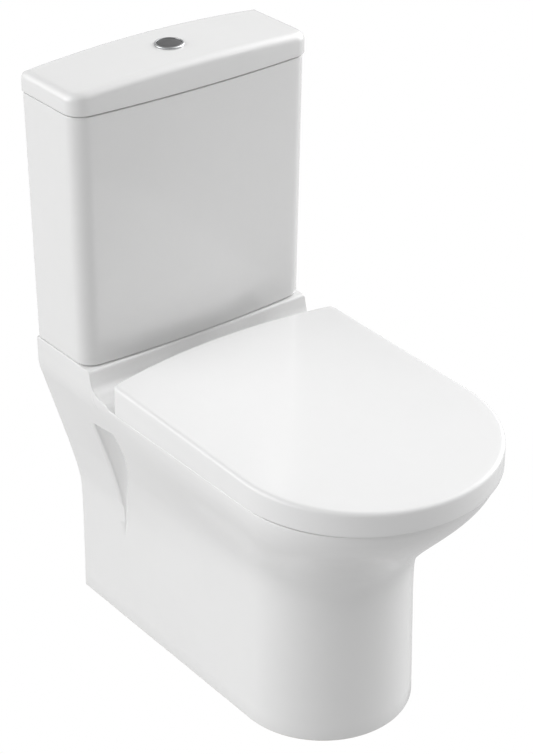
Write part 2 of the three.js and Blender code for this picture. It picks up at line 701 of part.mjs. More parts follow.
// The arm that the float lifts to shut the water off; it hangs a little below level at rest.
function leverBar({ x, z, length, thick, width, tilt }, out) {
  const bar = new THREE.BoxGeometry(length + 4, width, thick);
  bar.translate(length / 2 - 2, 0, 0);
  const eye = new THREE.CylinderGeometry(4, 4, width, 14);
  const bore = new THREE.CylinderGeometry(2.1, 2.1, width + 2, 14);
  return cut(join(solid(bar), solid(eye)), solid(bore))
    .rotate([0, THREE.MathUtils.radToDeg(tilt), 0])
    .translate([x, atOut(out), z]);
}

// An upturned cup with a sleeve that slides on the riser.
function floatCup(x, out) {
  const { bore, sleeve, inner, radius, z: [z0, z1] } = FLOAT;
  const cup = [
    [bore, z0], [sleeve, z0], [sleeve, z1 - 3], [inner, z1 - 3], [inner, z0], [radius, z0], [radius, z1],
    [bore, z1], [bore, z0],
  ];
  return turned(cup, x, out, 20);
}

// ---- Bolts that clamp the cistern to the pan

const BOLT = { radius: 3.9, bore: 4.2, head: 9, washer: 12, hub: 8, wingNear: 6.5, wingFar: 16 };

function makeCouplings() {
  const out = BUTTON.out;
  const washerZ = FLOOR_Z + GAP;
  const headZ = washerZ + 3 + GAP;
  const shelf = PLATFORM.z - PLATFORM.plate;
  const bolt = [
    [0, shelf - 26], [BOLT.radius, shelf - 26], [BOLT.radius, headZ], [BOLT.head, headZ],
    [BOLT.head, headZ + 3], [BOLT.head - 3, headZ + 5], [0, headZ + 5],
  ];
  addPair('coupling_bolt', turned(bolt, COUPLING_X, out, 14), 'brass');
  const ring = (z0, z1) => tube(BOLT.bore, BOLT.washer, z0, z1, COUPLING_X, out, 18);
  addPair('coupling_seal', ring(washerZ, washerZ + 3), 'rubber');
  addPair('coupling_washer', ring(shelf - 2 - GAP, shelf - GAP), 'steel');
  const nutZ = shelf - 2 - 2 * GAP;
  const hub = tube(BOLT.bore, BOLT.hub, nutZ - 10, nutZ, COUPLING_X, out, 14);
  const wings = [-1, 1].map((side) => {
    const [near, far] = [side * BOLT.wingNear, side * BOLT.wingFar].sort((a, b) => a - b);
    return block([COUPLING_X + near, COUPLING_X + far], [out - 1.5, out + 1.5], [nutZ - 14, nutZ - 2]);
  });
  addPair('coupling_wing_nut', join(hub, ...wings), 'brass');
}

// ---- Seat ring, lid and hinges

// Plan outline of the seat lid or ring: round front, straight sides, rear edge from a function.
function seatRing(half, inset, rearAt, height) {
  const arcSteps = 24;
  const sideSteps = 3;
  const rearSteps = 8;
  const wide = half - inset;
  const reach = DEPTH - SEAT.arcOut - (SEAT.lidHalf - half) - inset;
  const right = [];
  for (let i = 0; i < rearSteps / 2; i++) {
    const x = (wide * 2 * i) / rearSteps;
    right.push([x, rearAt(x) + inset]);
  }
  for (let i = 0; i < sideSteps; i++) {
    right.push([wide, THREE.MathUtils.lerp(rearAt(wide) + inset, SEAT.arcOut, i / sideSteps)]);
  }
  for (let i = 0; i < arcSteps / 2; i++) {
    const angle = (i / arcSteps) * Math.PI;
    right.push([wide * Math.cos(angle), SEAT.arcOut + reach * Math.sin(angle)]);
  }
  const left = right.slice(1).map(([x, out]) => [-x, out]).reverse();
  const ring = [...right, [0, SEAT.arcOut + reach], ...left];
  return ring.map(([x, out]) => new THREE.Vector3(x, atOut(out), height(out)));
}

const lidRear = (x) => SEAT.rearOut + SEAT.rearBow * (x / SEAT.lidHalf) ** 2;

// Height of the lid's top, which falls towards the front.
function lidTop(out) {
  const t = (out - SEAT.rearOut) / (DEPTH - SEAT.rearOut);
  return THREE.MathUtils.lerp(SEAT.lidRearZ, SEAT.lidFrontZ, t);
}

// Half width of the gap in the lid's back skirt, which clears the hinges.
const REAR_CUT = 140;

function makeSeatLid() {
  const { lidBottomZ, lidShell, lidEdge, lidHalf } = SEAT;
  const ring = (inset, height) => seatRing(lidHalf, inset, lidRear, height);
  const curve = [1, 0.5, 0.15, 0].map((down) => [roundedInset(lidEdge, down * lidEdge), down * lidEdge]);
  const outer = loft([
    ring(0, () => lidBottomZ),
    ...curve.map(([inset, below]) => ring(inset, (out) => lidTop(out) - below)),
  ]);
  const inner = loft([
    ring(lidShell, () => lidBottomZ - 1),
    ring(lidShell, (out) => lidTop(out) - lidShell),
  ]);
  const rearSkirtZ = HINGE.z + 10;
  const rearCut = block([-REAR_CUT, REAR_CUT], [150, HINGE.out + 9], [lidBottomZ - 1, rearSkirtZ]);
  const { barrelX } = hingeSpans();
  const web = block(barrelX, [HINGE.out - 4, HINGE.out + 4], [HINGE.z, lidTop(HINGE.out) - 2]);
  const bore = axle(6.4, barrelX[0] - 1, barrelX[1] + 1);
  const barrel = cut(join(axle(HINGE.barrel, ...barrelX, 20), web), bore);
  addNode('seat_lid', join(cut(outer, inner, rearCut), bothSides(barrel)), 'seatPlastic');
}

// Where each piece of the right hand hinge lies along its axis.
function hingeSpans() {
  const postX = [HINGE.x - HINGE.postWidth / 2, HINGE.x + HINGE.postWidth / 2];
  return {
    postX,
    barrelX: [30, postX[0] - 0.5],
    lugX: [postX[1] + 0.5, postX[1] + 12.5],
    pinX: [32, postX[1] + 14],
  };
}

function makeSeatRing() {
  const { ringInset, ringRearOut, ringBottomZ, ringTopZ, lidHalf } = SEAT;
  const half = lidHalf - ringInset;
  const ring = (inset, z) => seatRing(half, inset, () => ringRearOut, () => z);
  const outer = loft([
    ring(3, ringBottomZ), ring(0, ringBottomZ + 3), ring(0, ringTopZ - 6),
    ring(2, ringTopZ - 2), ring(7, ringTopZ),
  ]);
  const openingFront = SEAT.arcOut + SEAT.openingHalf;
  const opening = (grow, z) => bowlRing(z, SEAT.openingHalf, SEAT.openingRearOut, openingFront, grow);
  const hole = loft([
    opening(0, ringBottomZ - 1), opening(0, ringTopZ - 5), opening(2, ringTopZ - 2),
    opening(7, ringTopZ + 0.5),
  ]);
  const { lugX } = hingeSpans();
  const arm = block(lugX, [HINGE.out, ringRearOut + 6], [HINGE.z - 7, HINGE.z + 2]);
  const lug = cut(join(axle(8, ...lugX), arm), axle(HINGE.pin + GAP, lugX[0] - 1, lugX[1] + 1));
  addNode('seat_ring', join(cut(outer, hole), bothSides(lug)), 'seatPlastic');
}

const MOUNT = { radius: 11, thickness: 3.5, postHalf: 6, eye: 6.5 };
const DAMPER_RADIUS = 6;

function makeHinges() {
  const { postX, pinX, barrelX } = hingeSpans();
  const deck = PAN.rimZ + GAP;
  const plateZ = [deck, deck + MOUNT.thickness];
  const plate = join(
    disc(MOUNT.radius, ...plateZ, HINGE.x, HINGE.boltOut, 20),
    disc(MOUNT.radius, ...plateZ, HINGE.x, HINGE.out + 1, 20),
    block([HINGE.x - MOUNT.radius, HINGE.x + MOUNT.radius], [HINGE.out + 1, HINGE.boltOut], plateZ),
  );
  const postOut = [HINGE.out - MOUNT.postHalf, HINGE.out + MOUNT.postHalf];
  const post = join(block(postX, postOut, [deck, HINGE.z]), axle(MOUNT.eye, ...postX));
  const pinBore = axle(HINGE.pin + GAP, postX[0] - 1, postX[1] + 1);
  const boltHole = disc(4.4, plateZ[0] - 1, plateZ[1] + 1, HINGE.x, HINGE.boltOut, 14);
  addPair('hinge_mount', cut(join(plate, post), pinBore, boltHole), 'chrome');
  addPair('hinge_pin', axle(HINGE.pin, ...pinX), 'steel');
  const damperBore = axle(HINGE.pin + GAP, ...barrelX);
  const damper = cut(axle(DAMPER_RADIUS, barrelX[0] + 4, barrelX[1] - 1), damperBore);
  addPair('soft_close_damper', damper, 'bluePlastic');
  const headZ = plateZ[1] + GAP;
  const bolt = [
    [0, deck - 42], [BOLT.radius, deck - 42], [BOLT.radius, headZ], [6, headZ], [6, headZ + 2.6],
    [5, headZ + 3.4], [0, headZ + 3.4],
  ];
  addPair('seat_bolt', turned(bolt, HINGE.x, HINGE.boltOut, 14), 'steel');
  const sleeve = tube(BOLT.bore, 6, deck - 32, deck - 2 * GAP, HINGE.x, HINGE.boltOut, 16);
  addPair('seat_bolt_sleeve', sleeve, 'greyRubber');
}

// Radius and places (x, distance from the wall) of the buffers.
const SEAT_BUFFER = { radius: 8, places: { rear: [155, 327], front: [109, 564] } };
const LID_BUFFER = { radius: 6, place: [118, 542] };

function makeBuffers() {
  for (const [where, [x, out]] of Object.entries(SEAT_BUFFER.places)) {
    const pad = disc(SEAT_BUFFER.radius, PAN.rimZ + GAP, SEAT.ringBottomZ - GAP, x, out, 16);
    addPair(`seat_buffer_${where}`, pad, 'greyRubber');
  }
  const { radius, place: [x, out] } = LID_BUFFER;
  const ceiling = lidTop(out + radius) - SEAT.lidShell - GAP;
  addPair('lid_buffer', disc(radius, SEAT.ringTopZ + GAP, ceiling, x, out, 16), 'greyRubber');
}

makePan();
makeTank();
makeTankLid();
makeButton();
makeFlushValve();
makeFillValve();
makeCouplings();
makeSeatRing();
makeSeatLid();
makeHinges();
makeBuffers();

export default toilet;
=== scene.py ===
"""Looks of the close coupled toilet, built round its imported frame.

Shapes are worked out in millimetres: x across, "out" from the wall plane towards the front, z up
from the floor. placed() turns them into the frame's metres.
"""
import math

import bmesh
import bpy
import numpy as np
from bpy.props import FloatProperty, FloatVectorProperty, PointerProperty
from mathutils import Matrix, Vector


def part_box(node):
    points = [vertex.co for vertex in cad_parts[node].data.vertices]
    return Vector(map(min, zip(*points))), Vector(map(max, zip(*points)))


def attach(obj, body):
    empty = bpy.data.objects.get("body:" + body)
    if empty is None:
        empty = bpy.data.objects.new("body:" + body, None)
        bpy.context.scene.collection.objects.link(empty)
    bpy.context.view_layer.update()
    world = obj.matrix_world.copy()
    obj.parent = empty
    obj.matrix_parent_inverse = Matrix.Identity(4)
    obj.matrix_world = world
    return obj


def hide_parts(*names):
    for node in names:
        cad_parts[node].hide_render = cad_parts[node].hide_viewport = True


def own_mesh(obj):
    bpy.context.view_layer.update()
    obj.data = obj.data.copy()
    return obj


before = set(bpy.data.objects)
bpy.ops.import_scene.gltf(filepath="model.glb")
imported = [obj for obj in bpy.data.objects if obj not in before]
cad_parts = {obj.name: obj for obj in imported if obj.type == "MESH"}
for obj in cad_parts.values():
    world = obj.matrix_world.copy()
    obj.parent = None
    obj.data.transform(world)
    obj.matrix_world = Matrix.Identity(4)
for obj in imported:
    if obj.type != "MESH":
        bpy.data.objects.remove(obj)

bl_info = {
    "name": "Close coupled toilet",
    "version": (1, 0, 0),
    "blender": (4, 5, 0),
    "location": "View3D > Sidebar > Toilet",
    "description": "Builds the visible pieces and finishes of a close coupled toilet",
    "category": "Object",
}

MM = 0.001
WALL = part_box("pan")[1].y / MM
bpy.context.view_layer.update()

RIM_Z = 391.0
HINGE_OUT, HINGE_Z, HINGE_X = 178.5, 419.0, 77.5
BUTTON_OUT = 67.8
LID_TOP_Z = 820.0
SOFT_ANGLE = 38.0  # edges sharper than this are bevelled on the copies of CAD's own meshes


# ---- Sums that every shape shares

def lerp(a, b, t):
    return a + (b - a) * t


def smooth(t):
    """Runs from 0 to 1 with level ends: three t squared less two t cubed."""
    s = np.clip(t, 0, 1)
    return s * s * (3 - 2 * s)


def soft_ramp(t, width):
    """Nought below zero and t above it, with a bend of the given width between."""
    return (t + np.hypot(t, width)) / 2


def placed(x, out, z):
    """Millimetres from the middle, the wall and the floor, as points of the frame in metres."""
    x, out, z = np.broadcast_arrays(x, out, z)
    return np.stack([x, WALL - out, z], -1) * MM


def mirrored_loop(x, out):
    """A half outline that starts and ends on the middle plane, and its mirror, as one closed loop."""
    back = (..., slice(-2, 0, -1))
    return np.concatenate([x, -x[back]], -1), np.concatenate([out, out[back]], -1)


def grid_quads(rows, cols, around=True, along=False):
    """Quads of a grid of points numbered row by row; around and along close it on itself."""
    r, c = np.meshgrid(
        np.arange(rows if along else rows - 1), np.arange(cols if around else cols - 1), indexing="ij"
    )
    r2, c2 = (r + 1) % rows, (c + 1) % cols
    return np.stack([r * cols + c, r * cols + c2, r2 * cols + c2, r2 * cols + c], -1).reshape(-1, 4)


def volume(points, quads):
    """Signed volume of a closed shell: a sixth of the sum of its corners' triple products."""
    p = points[quads]
    triple = lambda a, b, c: np.einsum("ij,ij->i", a, np.cross(b, c)).sum()
    return (triple(p[:, 0], p[:, 1], p[:, 2]) + triple(p[:, 0], p[:, 2], p[:, 3])) / 6


def shell(points, around=True, along=False):
    """A closed shell from a grid of points, with its faces turned outwards."""
    rows, cols = points.shape[:2]
    flat = points.reshape(-1, 3)
    quads = grid_quads(rows, cols, around, along)
    return (flat, quads if volume(flat, quads) > 0 else quads[:, ::-1])


def rounded(corners, radius, steps=4, closed=False):
    """A section's corners as a list of points, with each inner corner turned into an arc.

    An arc starts a radius (or half an edge, if that is shorter) before its corner and is the
    quadratic curve through the corner to the same distance after it.
    """
    p = np.array(corners, float)
    count = len(p)
    made = []
    for i in range(count):
        if not closed and i in (0, count - 1):
            made.append(p[i : i + 1])
            continue
        before, corner, after = p[i - 1], p[i], p[(i + 1) % count]
        a, b = before - corner, after - corner
        la, lb = np.hypot(*a), np.hypot(*b)
        reach = min(radius, la * 0.45, lb * 0.45)
        t = np.linspace(0, 1, steps + 1)[:, None]
        start, end = corner + a / la * reach, corner + b / lb * reach
        made.append((1 - t) ** 2 * start + 2 * t * (1 - t) * corner + t**2 * end)
    return np.concatenate(made)


def band(r0, r1, low, high):
    """The section of a plain ring between two radii and two heights."""
    return [(r0, low), (r1, low), (r1, high), (r0, high)]


def spun(section, radius, sides, steps, place):
    """A section of (radius, along) corners turned about an axis, with its corners softened.

    Point (i, j) is the section's point i at angle 2 pi j / sides, and place says where it lies. A
    section that starts off the axis closes on itself; one that starts and ends on it has poles.
    """
    on_axis = section[0][0] == 0
    line = rounded(section, radius, steps, closed=not on_axis)
    angle = np.arange(sides) * 2 * math.pi / sides
    r, along = line[:, :1], line[:, 1:]
    return shell(place(r * np.cos(angle), r * np.sin(angle), along), along=not on_axis)


def turned(section, x, out, radius=0.6, sides=48):
    """A section of (radius, z) corners turned about an upright axis."""
    return spun(section, radius, sides, 3, lambda a, b, z: placed(x + a, out + b, z))


def axle(section, radius=0.6):
    """A section of (radius, x) corners turned about the seat's hinge axis."""
    return spun(section, radius, 40, 3, lambda a, b, x: placed(x, HINGE_OUT + a, HINGE_Z + b))


def quarter(count):
    """Pairs of one less the sine and one less the cosine over a quarter turn: how far a round edge
    of radius one is drawn in, and how far along it is."""
    return [(1 - math.sin(a), 1 - math.cos(a)) for a in np.linspace(0, math.pi / 2, count)]


def between(a, b, share):
    """The loop that lies a share of the way from one (x, out) loop to another."""
    return lerp(a[0], b[0], share), lerp(a[1], b[1], share)


def pad(x0, x1, out0, out1, z0, z1, corner=3.0, edge=1.0):
    """A block with round upright corners and softened edges.

    Each level is a rounded rectangle: the four corner circles' centres plus a radius at 6 degree
    steps, drawn in by the edge's own quarter circle at the top and bottom.
    """
    angle = np.radians(np.arange(0, 360, 6)) + math.pi / 60
    turn = np.linspace(0, math.pi / 2, 5)
    inset = np.concatenate([edge * (1 - np.sin(turn)), edge * (1 - np.cos(turn))])[:, None]
    rise = np.concatenate([edge * (1 - np.cos(turn)), z1 - z0 - edge * (1 - np.sin(turn))])
    half_x, half_out = (x1 - x0) / 2, (out1 - out0) / 2
    corner = min(corner, half_x, half_out)
    sx, so = np.sign(np.cos(angle)), np.sign(np.sin(angle))
    radius = np.maximum(corner - inset, 0.01)
    x = (half_x - inset - radius) * sx + radius * np.cos(angle)
    out = (half_out - inset - radius) * so + radius * np.sin(angle)
    z = z0 + rise[:, None] + 0 * x
    x = np.concatenate([0 * x[:1], x, 0 * x[:1]]) + (x0 + x1) / 2
    out = np.concatenate([0 * out[:1], out, 0 * out[:1]]) + (out0 + out1) / 2
    z = np.concatenate([z[:1], z, z[-1:]])
    return shell(placed(x, out, z))


def both_sides(shells):
    """The shells and their mirror images, with the images' faces turned to point outwards."""
    flip = np.array([-1, 1, 1])
    return list(shells) + [(points * flip, quads[:, ::-1]) for points, quads in shells]


def weld(mesh, distance):
    """Merges points that coincide, so that seams and poles are closed."""
    work = bmesh.new()
    work.from_mesh(mesh)
    bmesh.ops.remove_doubles(work, verts=work.verts, dist=distance)
    work.to_mesh(mesh)
    work.free()


def settle(name, mesh, body, slot, finishes, nodes, sharp):
    """Puts a mesh into the scene as one piece on a body, in place of the CAD nodes named."""
    mesh.shade_smooth()
    mesh.set_sharp_from_angle(angle=math.radians(sharp))
    mesh.materials.append(finishes[slot])
    piece = bpy.data.objects.new(name, mesh)
    bpy.context.scene.collection.objects.link(piece)
    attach(piece, body)
    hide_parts(*nodes)
    return piece


def add_piece(name, body, slot, finishes, shells, nodes, sharp=40.0):
    """One mesh piece from closed shells."""
    start = np.cumsum([0] + [len(points) for points, _ in shells])
    points = np.concatenate([points for points, _ in shells])
    quads = np.concatenate([quads + first for (_, quads), first in zip(shells, start)])
    mesh = bpy.data.meshes.new(name)
    mesh.from_pydata(points.tolist(), [], quads.tolist())
    weld(mesh, 2e-6)
    mesh.validate()
    settle(name, mesh, body, slot, finishes, nodes, sharp)


def add_pair(name, body, slot, finishes, shells, node):
    """A piece on the right and its mirror image on the left, each in place of its own node."""
    pairs = both_sides(shells)
    for side, made in (("right", pairs[: len(shells)]), ("left", pairs[len(shells) :])):
        add_piece(f"{name}_{side}", body, slot, finishes, made, [f"{node}_{side}"])


def softened_copy(name, body, slot, finishes, bevel):
    """A merged copy of a CAD node's mesh with its sharp edges bevelled by a modifier."""
    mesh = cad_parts[name].data.copy()
    weld(mesh, 5e-6)
    mesh.materials.clear()
    piece = settle(name + "_piece", mesh, body, slot, finishes, [name], SOFT_ANGLE)
    edge = piece.modifiers.new("Soft edges", "BEVEL")
    edge.width, edge.segments, edge.limit_method = bevel * MM, 2, "ANGLE"
    edge.angle_limit = math.radians(SOFT_ANGLE)
    edge.use_clamp_overlap = True
    return piece


# ---- Pan

BASE_HALF, TOP_HALF = 122.0, 179.5
NOSE_OUT, RIM_OUT, RIM_CENTRE = 512.0, 626.0, 468.0
DRAFT, DRAFT_TOP_Z = 0.018, 258.0
FLARE_SLOPE, FLARE_Z, FLARE_SOFT = 0.305, 185.0, 23.5
BELLY_FOOT_Z, BELLY_Z, BELLY_SOFT, BELLY_START, BELLY_POWER = 150.0, 226.2, 28.0, 2.103, 0.614
SPLIT_OUT = 180.0
GILL_REAR, GILL_WIDTH, GILL_TOP, GILL_BOTTOM = 107.0, 52.5, 343.0, 128.0
GILL_FRONT, GILL_SLOPE, GILL_CREST, GILL_POWER = 153.6, 0.153, 0.1, 2.95
DECK_LINE = np.array(
    [(0, 428.5), (120.5, 428.5), (124.5, 428.5), (125.5, 423.5), (129.5, 396), (152.5, 396), (160, 396)]
)


def deck_profile():
    """Height of the pan's top by distance from the wall, as a dense line.

    Level shelf, a rounded edge, a hollow curve (both quadratic) down to the deck, and a smooth
    step from the deck to the rim.
    """
    t = np.linspace(0, 1, 40)[:, None]
    curve = lambda a, b, c: (1 - t) ** 2 * a + 2 * t * (1 - t) * b + t**2 * c
    shelf, edge, corner, below, hollow, deck, foot = DECK_LINE
    ease = np.linspace(0, 1, 20)
    step = np.stack([lerp(foot[0], 170, ease), lerp(foot[1], RIM_Z, smooth(ease))], -1)
    line = [shelf[None], curve(edge, corner, below), curve(below, hollow, deck), step]
    return np.concatenate(line + [np.array([[SPLIT_OUT + 600, RIM_Z]])])


DECK = deck_profile()


def deck_top(out):
    return np.interp(out, DECK[:, 0], DECK[:, 1])


def drawn_in(z):
    return DRAFT * np.minimum(z, DRAFT_TOP_Z)


def back_half(z):
    """Half width at the wall: the drawn-in base plus a straight flare with a soft start."""
    flare = FLARE_SLOPE * soft_ramp(z - FLARE_Z, FLARE_SOFT)
    return np.minimum(BASE_HALF - drawn_in(z) + flare, TOP_HALF)


def bulge(z):
    """Share of the way from the column's nose to the rim, by height, with a wide hollow below.

    The sine of t to the power 2.103 over a quarter turn, to the power 0.614, where t is a soft
    ramp from the belly's foot to the rim.
    """
    rise = lambda level: soft_ramp(level - BELLY_Z, BELLY_SOFT)
    foot = rise(BELLY_FOOT_Z)
    t = np.clip((rise(z) - foot) / (rise(RIM_Z) - foot), 0, 1)
    return np.sin(t**BELLY_START * math.pi / 2) ** BELLY_POWER


def nose_at(z):
    """Half width of the round front, and how far out its centre and its nose are, by height."""
    share = bulge(z)
    half = lerp(BASE_HALF - drawn_in(z), TOP_HALF, share)
    centre = lerp(NOSE_OUT - BASE_HALF, RIM_CENTRE, share)
    return half, centre, lerp(NOSE_OUT - drawn_in(z), RIM_OUT, share)


def side_half(z, out):
    """Half width of the sides, which pass smoothly from the flare at the wall to the front."""
    half, centre, _ = nose_at(z)
    return lerp(back_half(z), half, smooth(out / centre))


def gill_width(z):
    """How far the side recess reaches towards the front: a blunt crest, then a power of a cosine."""
    down = (GILL_TOP - z) / (GILL_TOP - GILL_BOTTOM)
    crest = np.where(down < GILL_CREST, 1 - 0.11 * (1 - down / GILL_CREST) ** 2, 1)
    turn = np.clip((down - GILL_CREST) / (1 - GILL_CREST), 0, 1)
    return GILL_WIDTH * crest * np.cos(math.pi / 2 * turn) ** GILL_POWER * (down < 1.001)


def gill_slant(z, out):
    """Change of height that tilts the recess's top edge, fading out below it."""
    fade = np.clip((z - 300) / 40, 0, 1) * (z < 349)
    return GILL_SLOPE * fade * (np.clip(out, 95, GILL_FRONT) - GILL_FRONT)


def gill_depth(z, out, deepest, spread=0.0):
    """Depth of the side recess: a small step at its rear edge, then a quarter sine that levels out
    near its curved front edge, where it comes back to the skin over a millimetre or two."""
    width = gill_width(np.clip(z, GILL_BOTTOM, GILL_TOP))
    along = np.clip((out - GILL_REAR) / np.maximum(width, 0.5), 0, 1)
    ramp = 0.04 * smooth(along / 0.045) + 0.96 * np.sin(math.pi / 2 * np.minimum(along / 0.85, 1))
    past = out - GILL_REAR - width - spread
    front = 1 - smooth((past + 0.3) / (1.6 + spread + 4 * np.exp(-((width / 8) ** 2))))
    top = 1 - smooth((z - GILL_TOP - spread + 0.8) / (1.8 + spread))
    return deepest * width / GILL_WIDTH * ramp * front * top


# Shares of the recess's width where its columns lie.
GILL_COLUMNS = np.array([0, 0.012, 0.025, 0.045, 0.08, 0.2, 0.33, 0.47, 0.6, 0.74, 0.87, 1])
BAND = 28


def band_outs(z):
    """Places of the columns that cross the recess, following its front edge and, above it, the
    hollow step of the deck."""
    width = (gill_width(np.clip(z, GILL_BOTTOM, GILL_TOP)) ** 4 + 8.0**4) ** 0.25
    edge = GILL_REAR + width
    inner = GILL_REAR + (width - 1.5)[..., None] * GILL_COLUMNS
    cliff = edge[..., None] + np.array([-0.9, -0.4, 0.0, 0.4, 0.8, 1.2, 1.8, 2.8])
    outer = lerp(edge[..., None] + 4.4, SPLIT_OUT, np.arange(8) / 8)
    at_gill = np.concatenate([inner, cliff, outer], -1)
    at_deck = np.concatenate([
        np.array([111, 115, 118.5]),
        np.interp(np.linspace(0, 1, 6), np.linspace(0, 1, 40), DECK[1:41, 0]),
        np.interp(np.linspace(0.08, 1, 12), np.linspace(0, 1, 40), DECK[41:81, 0]),
        np.array([156, 160, 163, 165, 167, 170, 173.5]),
    ])
    share = smooth((z - 351) / 32)[..., None]
    return lerp(at_gill, at_deck, share)


def pan_side(z, inset, deepest, spread):
    """Half outline at the heights given (rows by 87 columns): straight-ish sides, then a quarter
    ellipse to the nose. Returns x and out."""
    half, centre, nose = nose_at(z)
    inset = inset + 0 * z
    rear = z[..., None] * 0 + np.arange(6) * 18.5
    side = lerp(SPLIT_OUT, centre[..., None], np.arange(24) / 24)
    out = np.concatenate([rear, band_outs(z), side], -1)
    x = side_half(z[..., None] + gill_slant(z[..., None], out), out) - inset[..., None]
    x = x - gill_depth(z[..., None], out, deepest, spread)
    angle = np.linspace(0, math.pi / 2, 29)
    wide, reach = (half - inset)[..., None], (nose - inset - centre)[..., None]
    x = np.concatenate([x, wide * np.cos(angle)], -1)
    return x, np.concatenate([out, centre[..., None] + reach * np.sin(angle)], -1)


def pan_wall(offset, sizes):
    """The skirt from foot to top edge: rows of height by columns along the outline."""
    inner = offset > 0
    radius = 3.0 if inner else sizes.pan_edge / MM
    low = np.array([0, 0.6, 2, 25, 60, 95, 120, 134])
    z = np.concatenate([
        low, np.arange(141, 200, 6), np.arange(201, 300, 4.5), np.arange(300, 338, 6.0),
        [339.5, 341.2, 342.2, 342.8, 343.4, 344.2, 346, 348.5, 351],
    ])
    foot = np.zeros(len(z)) if inner else np.concatenate([[2, 0.6, 0], np.zeros(len(z) - 3)])
    deepest = sizes.recess_depth / MM
    spread = 10.0 if inner else 0.0
    x, out = pan_side(z, offset + foot, deepest, spread)
    _, top_out = pan_side(np.array([RIM_Z]), offset, deepest, spread)
    top = deck_top(top_out + spread) - offset
    rise = np.linspace(0.12, 1, 7)
    up_z = lerp(351.0, top - radius, rise[:, None])
    up_x, up_out = pan_side(lerp(351.0, RIM_Z - radius, rise), offset, deepest, spread)
    flat = slice(0, 58)
    up_x[:, flat] = side_half(np.minimum(up_z, RIM_Z), up_out)[:, flat] - offset
    turn = np.linspace(0, math.pi / 2, 7)[1:]
    cap_x, cap_out = pan_side(RIM_Z + 0 * turn, offset + radius * (1 - np.cos(turn)), deepest, spread)
    cap_z = top - radius * (1 - np.sin(turn))[:, None]
    z_grid = z[:, None] + gill_slant(z[:, None], out)
    columns = (x, up_x, cap_x), (out, up_out, cap_out), (z_grid, up_z, cap_z)
    return [np.concatenate(parts) for parts in columns]


# The bowl's mouth and sump: half width, and how far out their rear and front are.
MOUTH_HALF, MOUTH_REAR, MOUTH_FRONT = 133.0, 238.0, 584.0
SUMP_HALF, SUMP_REAR, SUMP_FRONT, SUMP_Z = 38.0, 266.0, 348.0, 145.0
# The trap: its bore's radius, the foot of the dam, and the (out, z) of the weir and the outlet.
TRAP_BORE, DAM_Z = 35.0, 172.0
WEIR, OUTLET = np.array([140, 228]), np.array([55, 185])


def bowl_turn(columns):
    """For each column round the bowl, from the nose: its angle and its share of the way along the
    straight part of the sides, spaced by the length of the bowl's mouth."""
    front, straight, rear = 209.0, 107.0, 188.0
    length = np.linspace(0, front + straight + rear, columns)
    angle = np.where(
        length < front, math.pi / 2 * (1 - length / front),
        -math.pi / 2 * np.clip((length - front - straight) / rear, 0, 1),
    )
    return angle, 1 - np.clip((length - front) / straight, 0, 1)


def bowl_ring(half, rear, front, grow, angle, share):
    """A level of the bowl: round front, straight sides and a rounder back."""
    wide, fore, aft = half + grow, front + grow, rear - grow
    front_centre = fore - np.minimum(wide, (fore - aft) / 2)
    rear_centre = aft + np.minimum(wide * 0.8, (fore - aft) / 2 - 1)
    reach = np.where(angle > 0, fore - front_centre, rear_centre - aft)
    return wide * np.cos(angle), lerp(rear_centre, front_centre, share) + reach * np.sin(angle)


def bowl_rows(offset, angle, share):
    """From the lip down the bowl into the sump, round the bend and along the trap to the outlet.

    The bowl's levels are flat rings; then rings turn about the foot of the dam, and the rest are
    circles square to a smooth line over the weir and down to the outlet.
    """
    lip = 3.0 if offset else 9.0
    rows = []
    for s, c in quarter(7):
        x, out = bowl_ring(MOUTH_HALF, MOUTH_REAR, MOUTH_FRONT, offset + lip * s, angle, share)
        rows.append((x, out, RIM_Z - offset - lip * c + 0 * x))
    start_z = RIM_Z - offset - lip
    for t in np.linspace(0, 1, 31)[1:]:
        z = lerp(start_z, DAM_Z, t)
        rise = (z - SUMP_Z) / (start_z - SUMP_Z)
        spread = math.sin(rise * math.pi / 2) ** 0.9
        near = smooth((t - 0.8) / 0.2)
        half = lerp(lerp(SUMP_HALF, MOUTH_HALF, spread), 52, near)
        front = lerp(lerp(SUMP_FRONT, MOUTH_FRONT, spread**1.6), 362, near)
        x, out = bowl_ring(half, lerp(SUMP_REAR, MOUTH_REAR, spread), front, offset, angle, share)
        rows.append((x, out, z + 0 * x))
    x0, out0, _ = rows[-1]
    pivot_out, gap = 246.0, 14.0
    round_angle = math.pi / 2 - np.linspace(0, math.pi, len(angle))
    centre0 = (out0.max() + out0.min()) / 2
    for tilt in np.radians(np.linspace(0, 160, 32)[1:]):
        t = smooth(tilt / (math.pi / 2))
        length = lerp(out0.max() - out0.min(), 2 * (TRAP_BORE + offset), t)
        local = lerp((out0 - centre0) / (out0.max() - out0.min()) * 2, np.sin(round_angle), t)
        x = lerp(x0, (TRAP_BORE + offset) * np.cos(round_angle), t)
        inner_gap = lerp(out0.min() - pivot_out, gap - offset, t)
        far = inner_gap + length / 2 * (1 + local)
        rows.append((x, pivot_out + far * math.cos(tilt), DAM_Z - far * math.sin(tilt)))
    rows += trap_rows(offset, round_angle, pivot_out, gap + TRAP_BORE, math.radians(160))
    return [np.stack(part) for part in zip(*rows)]


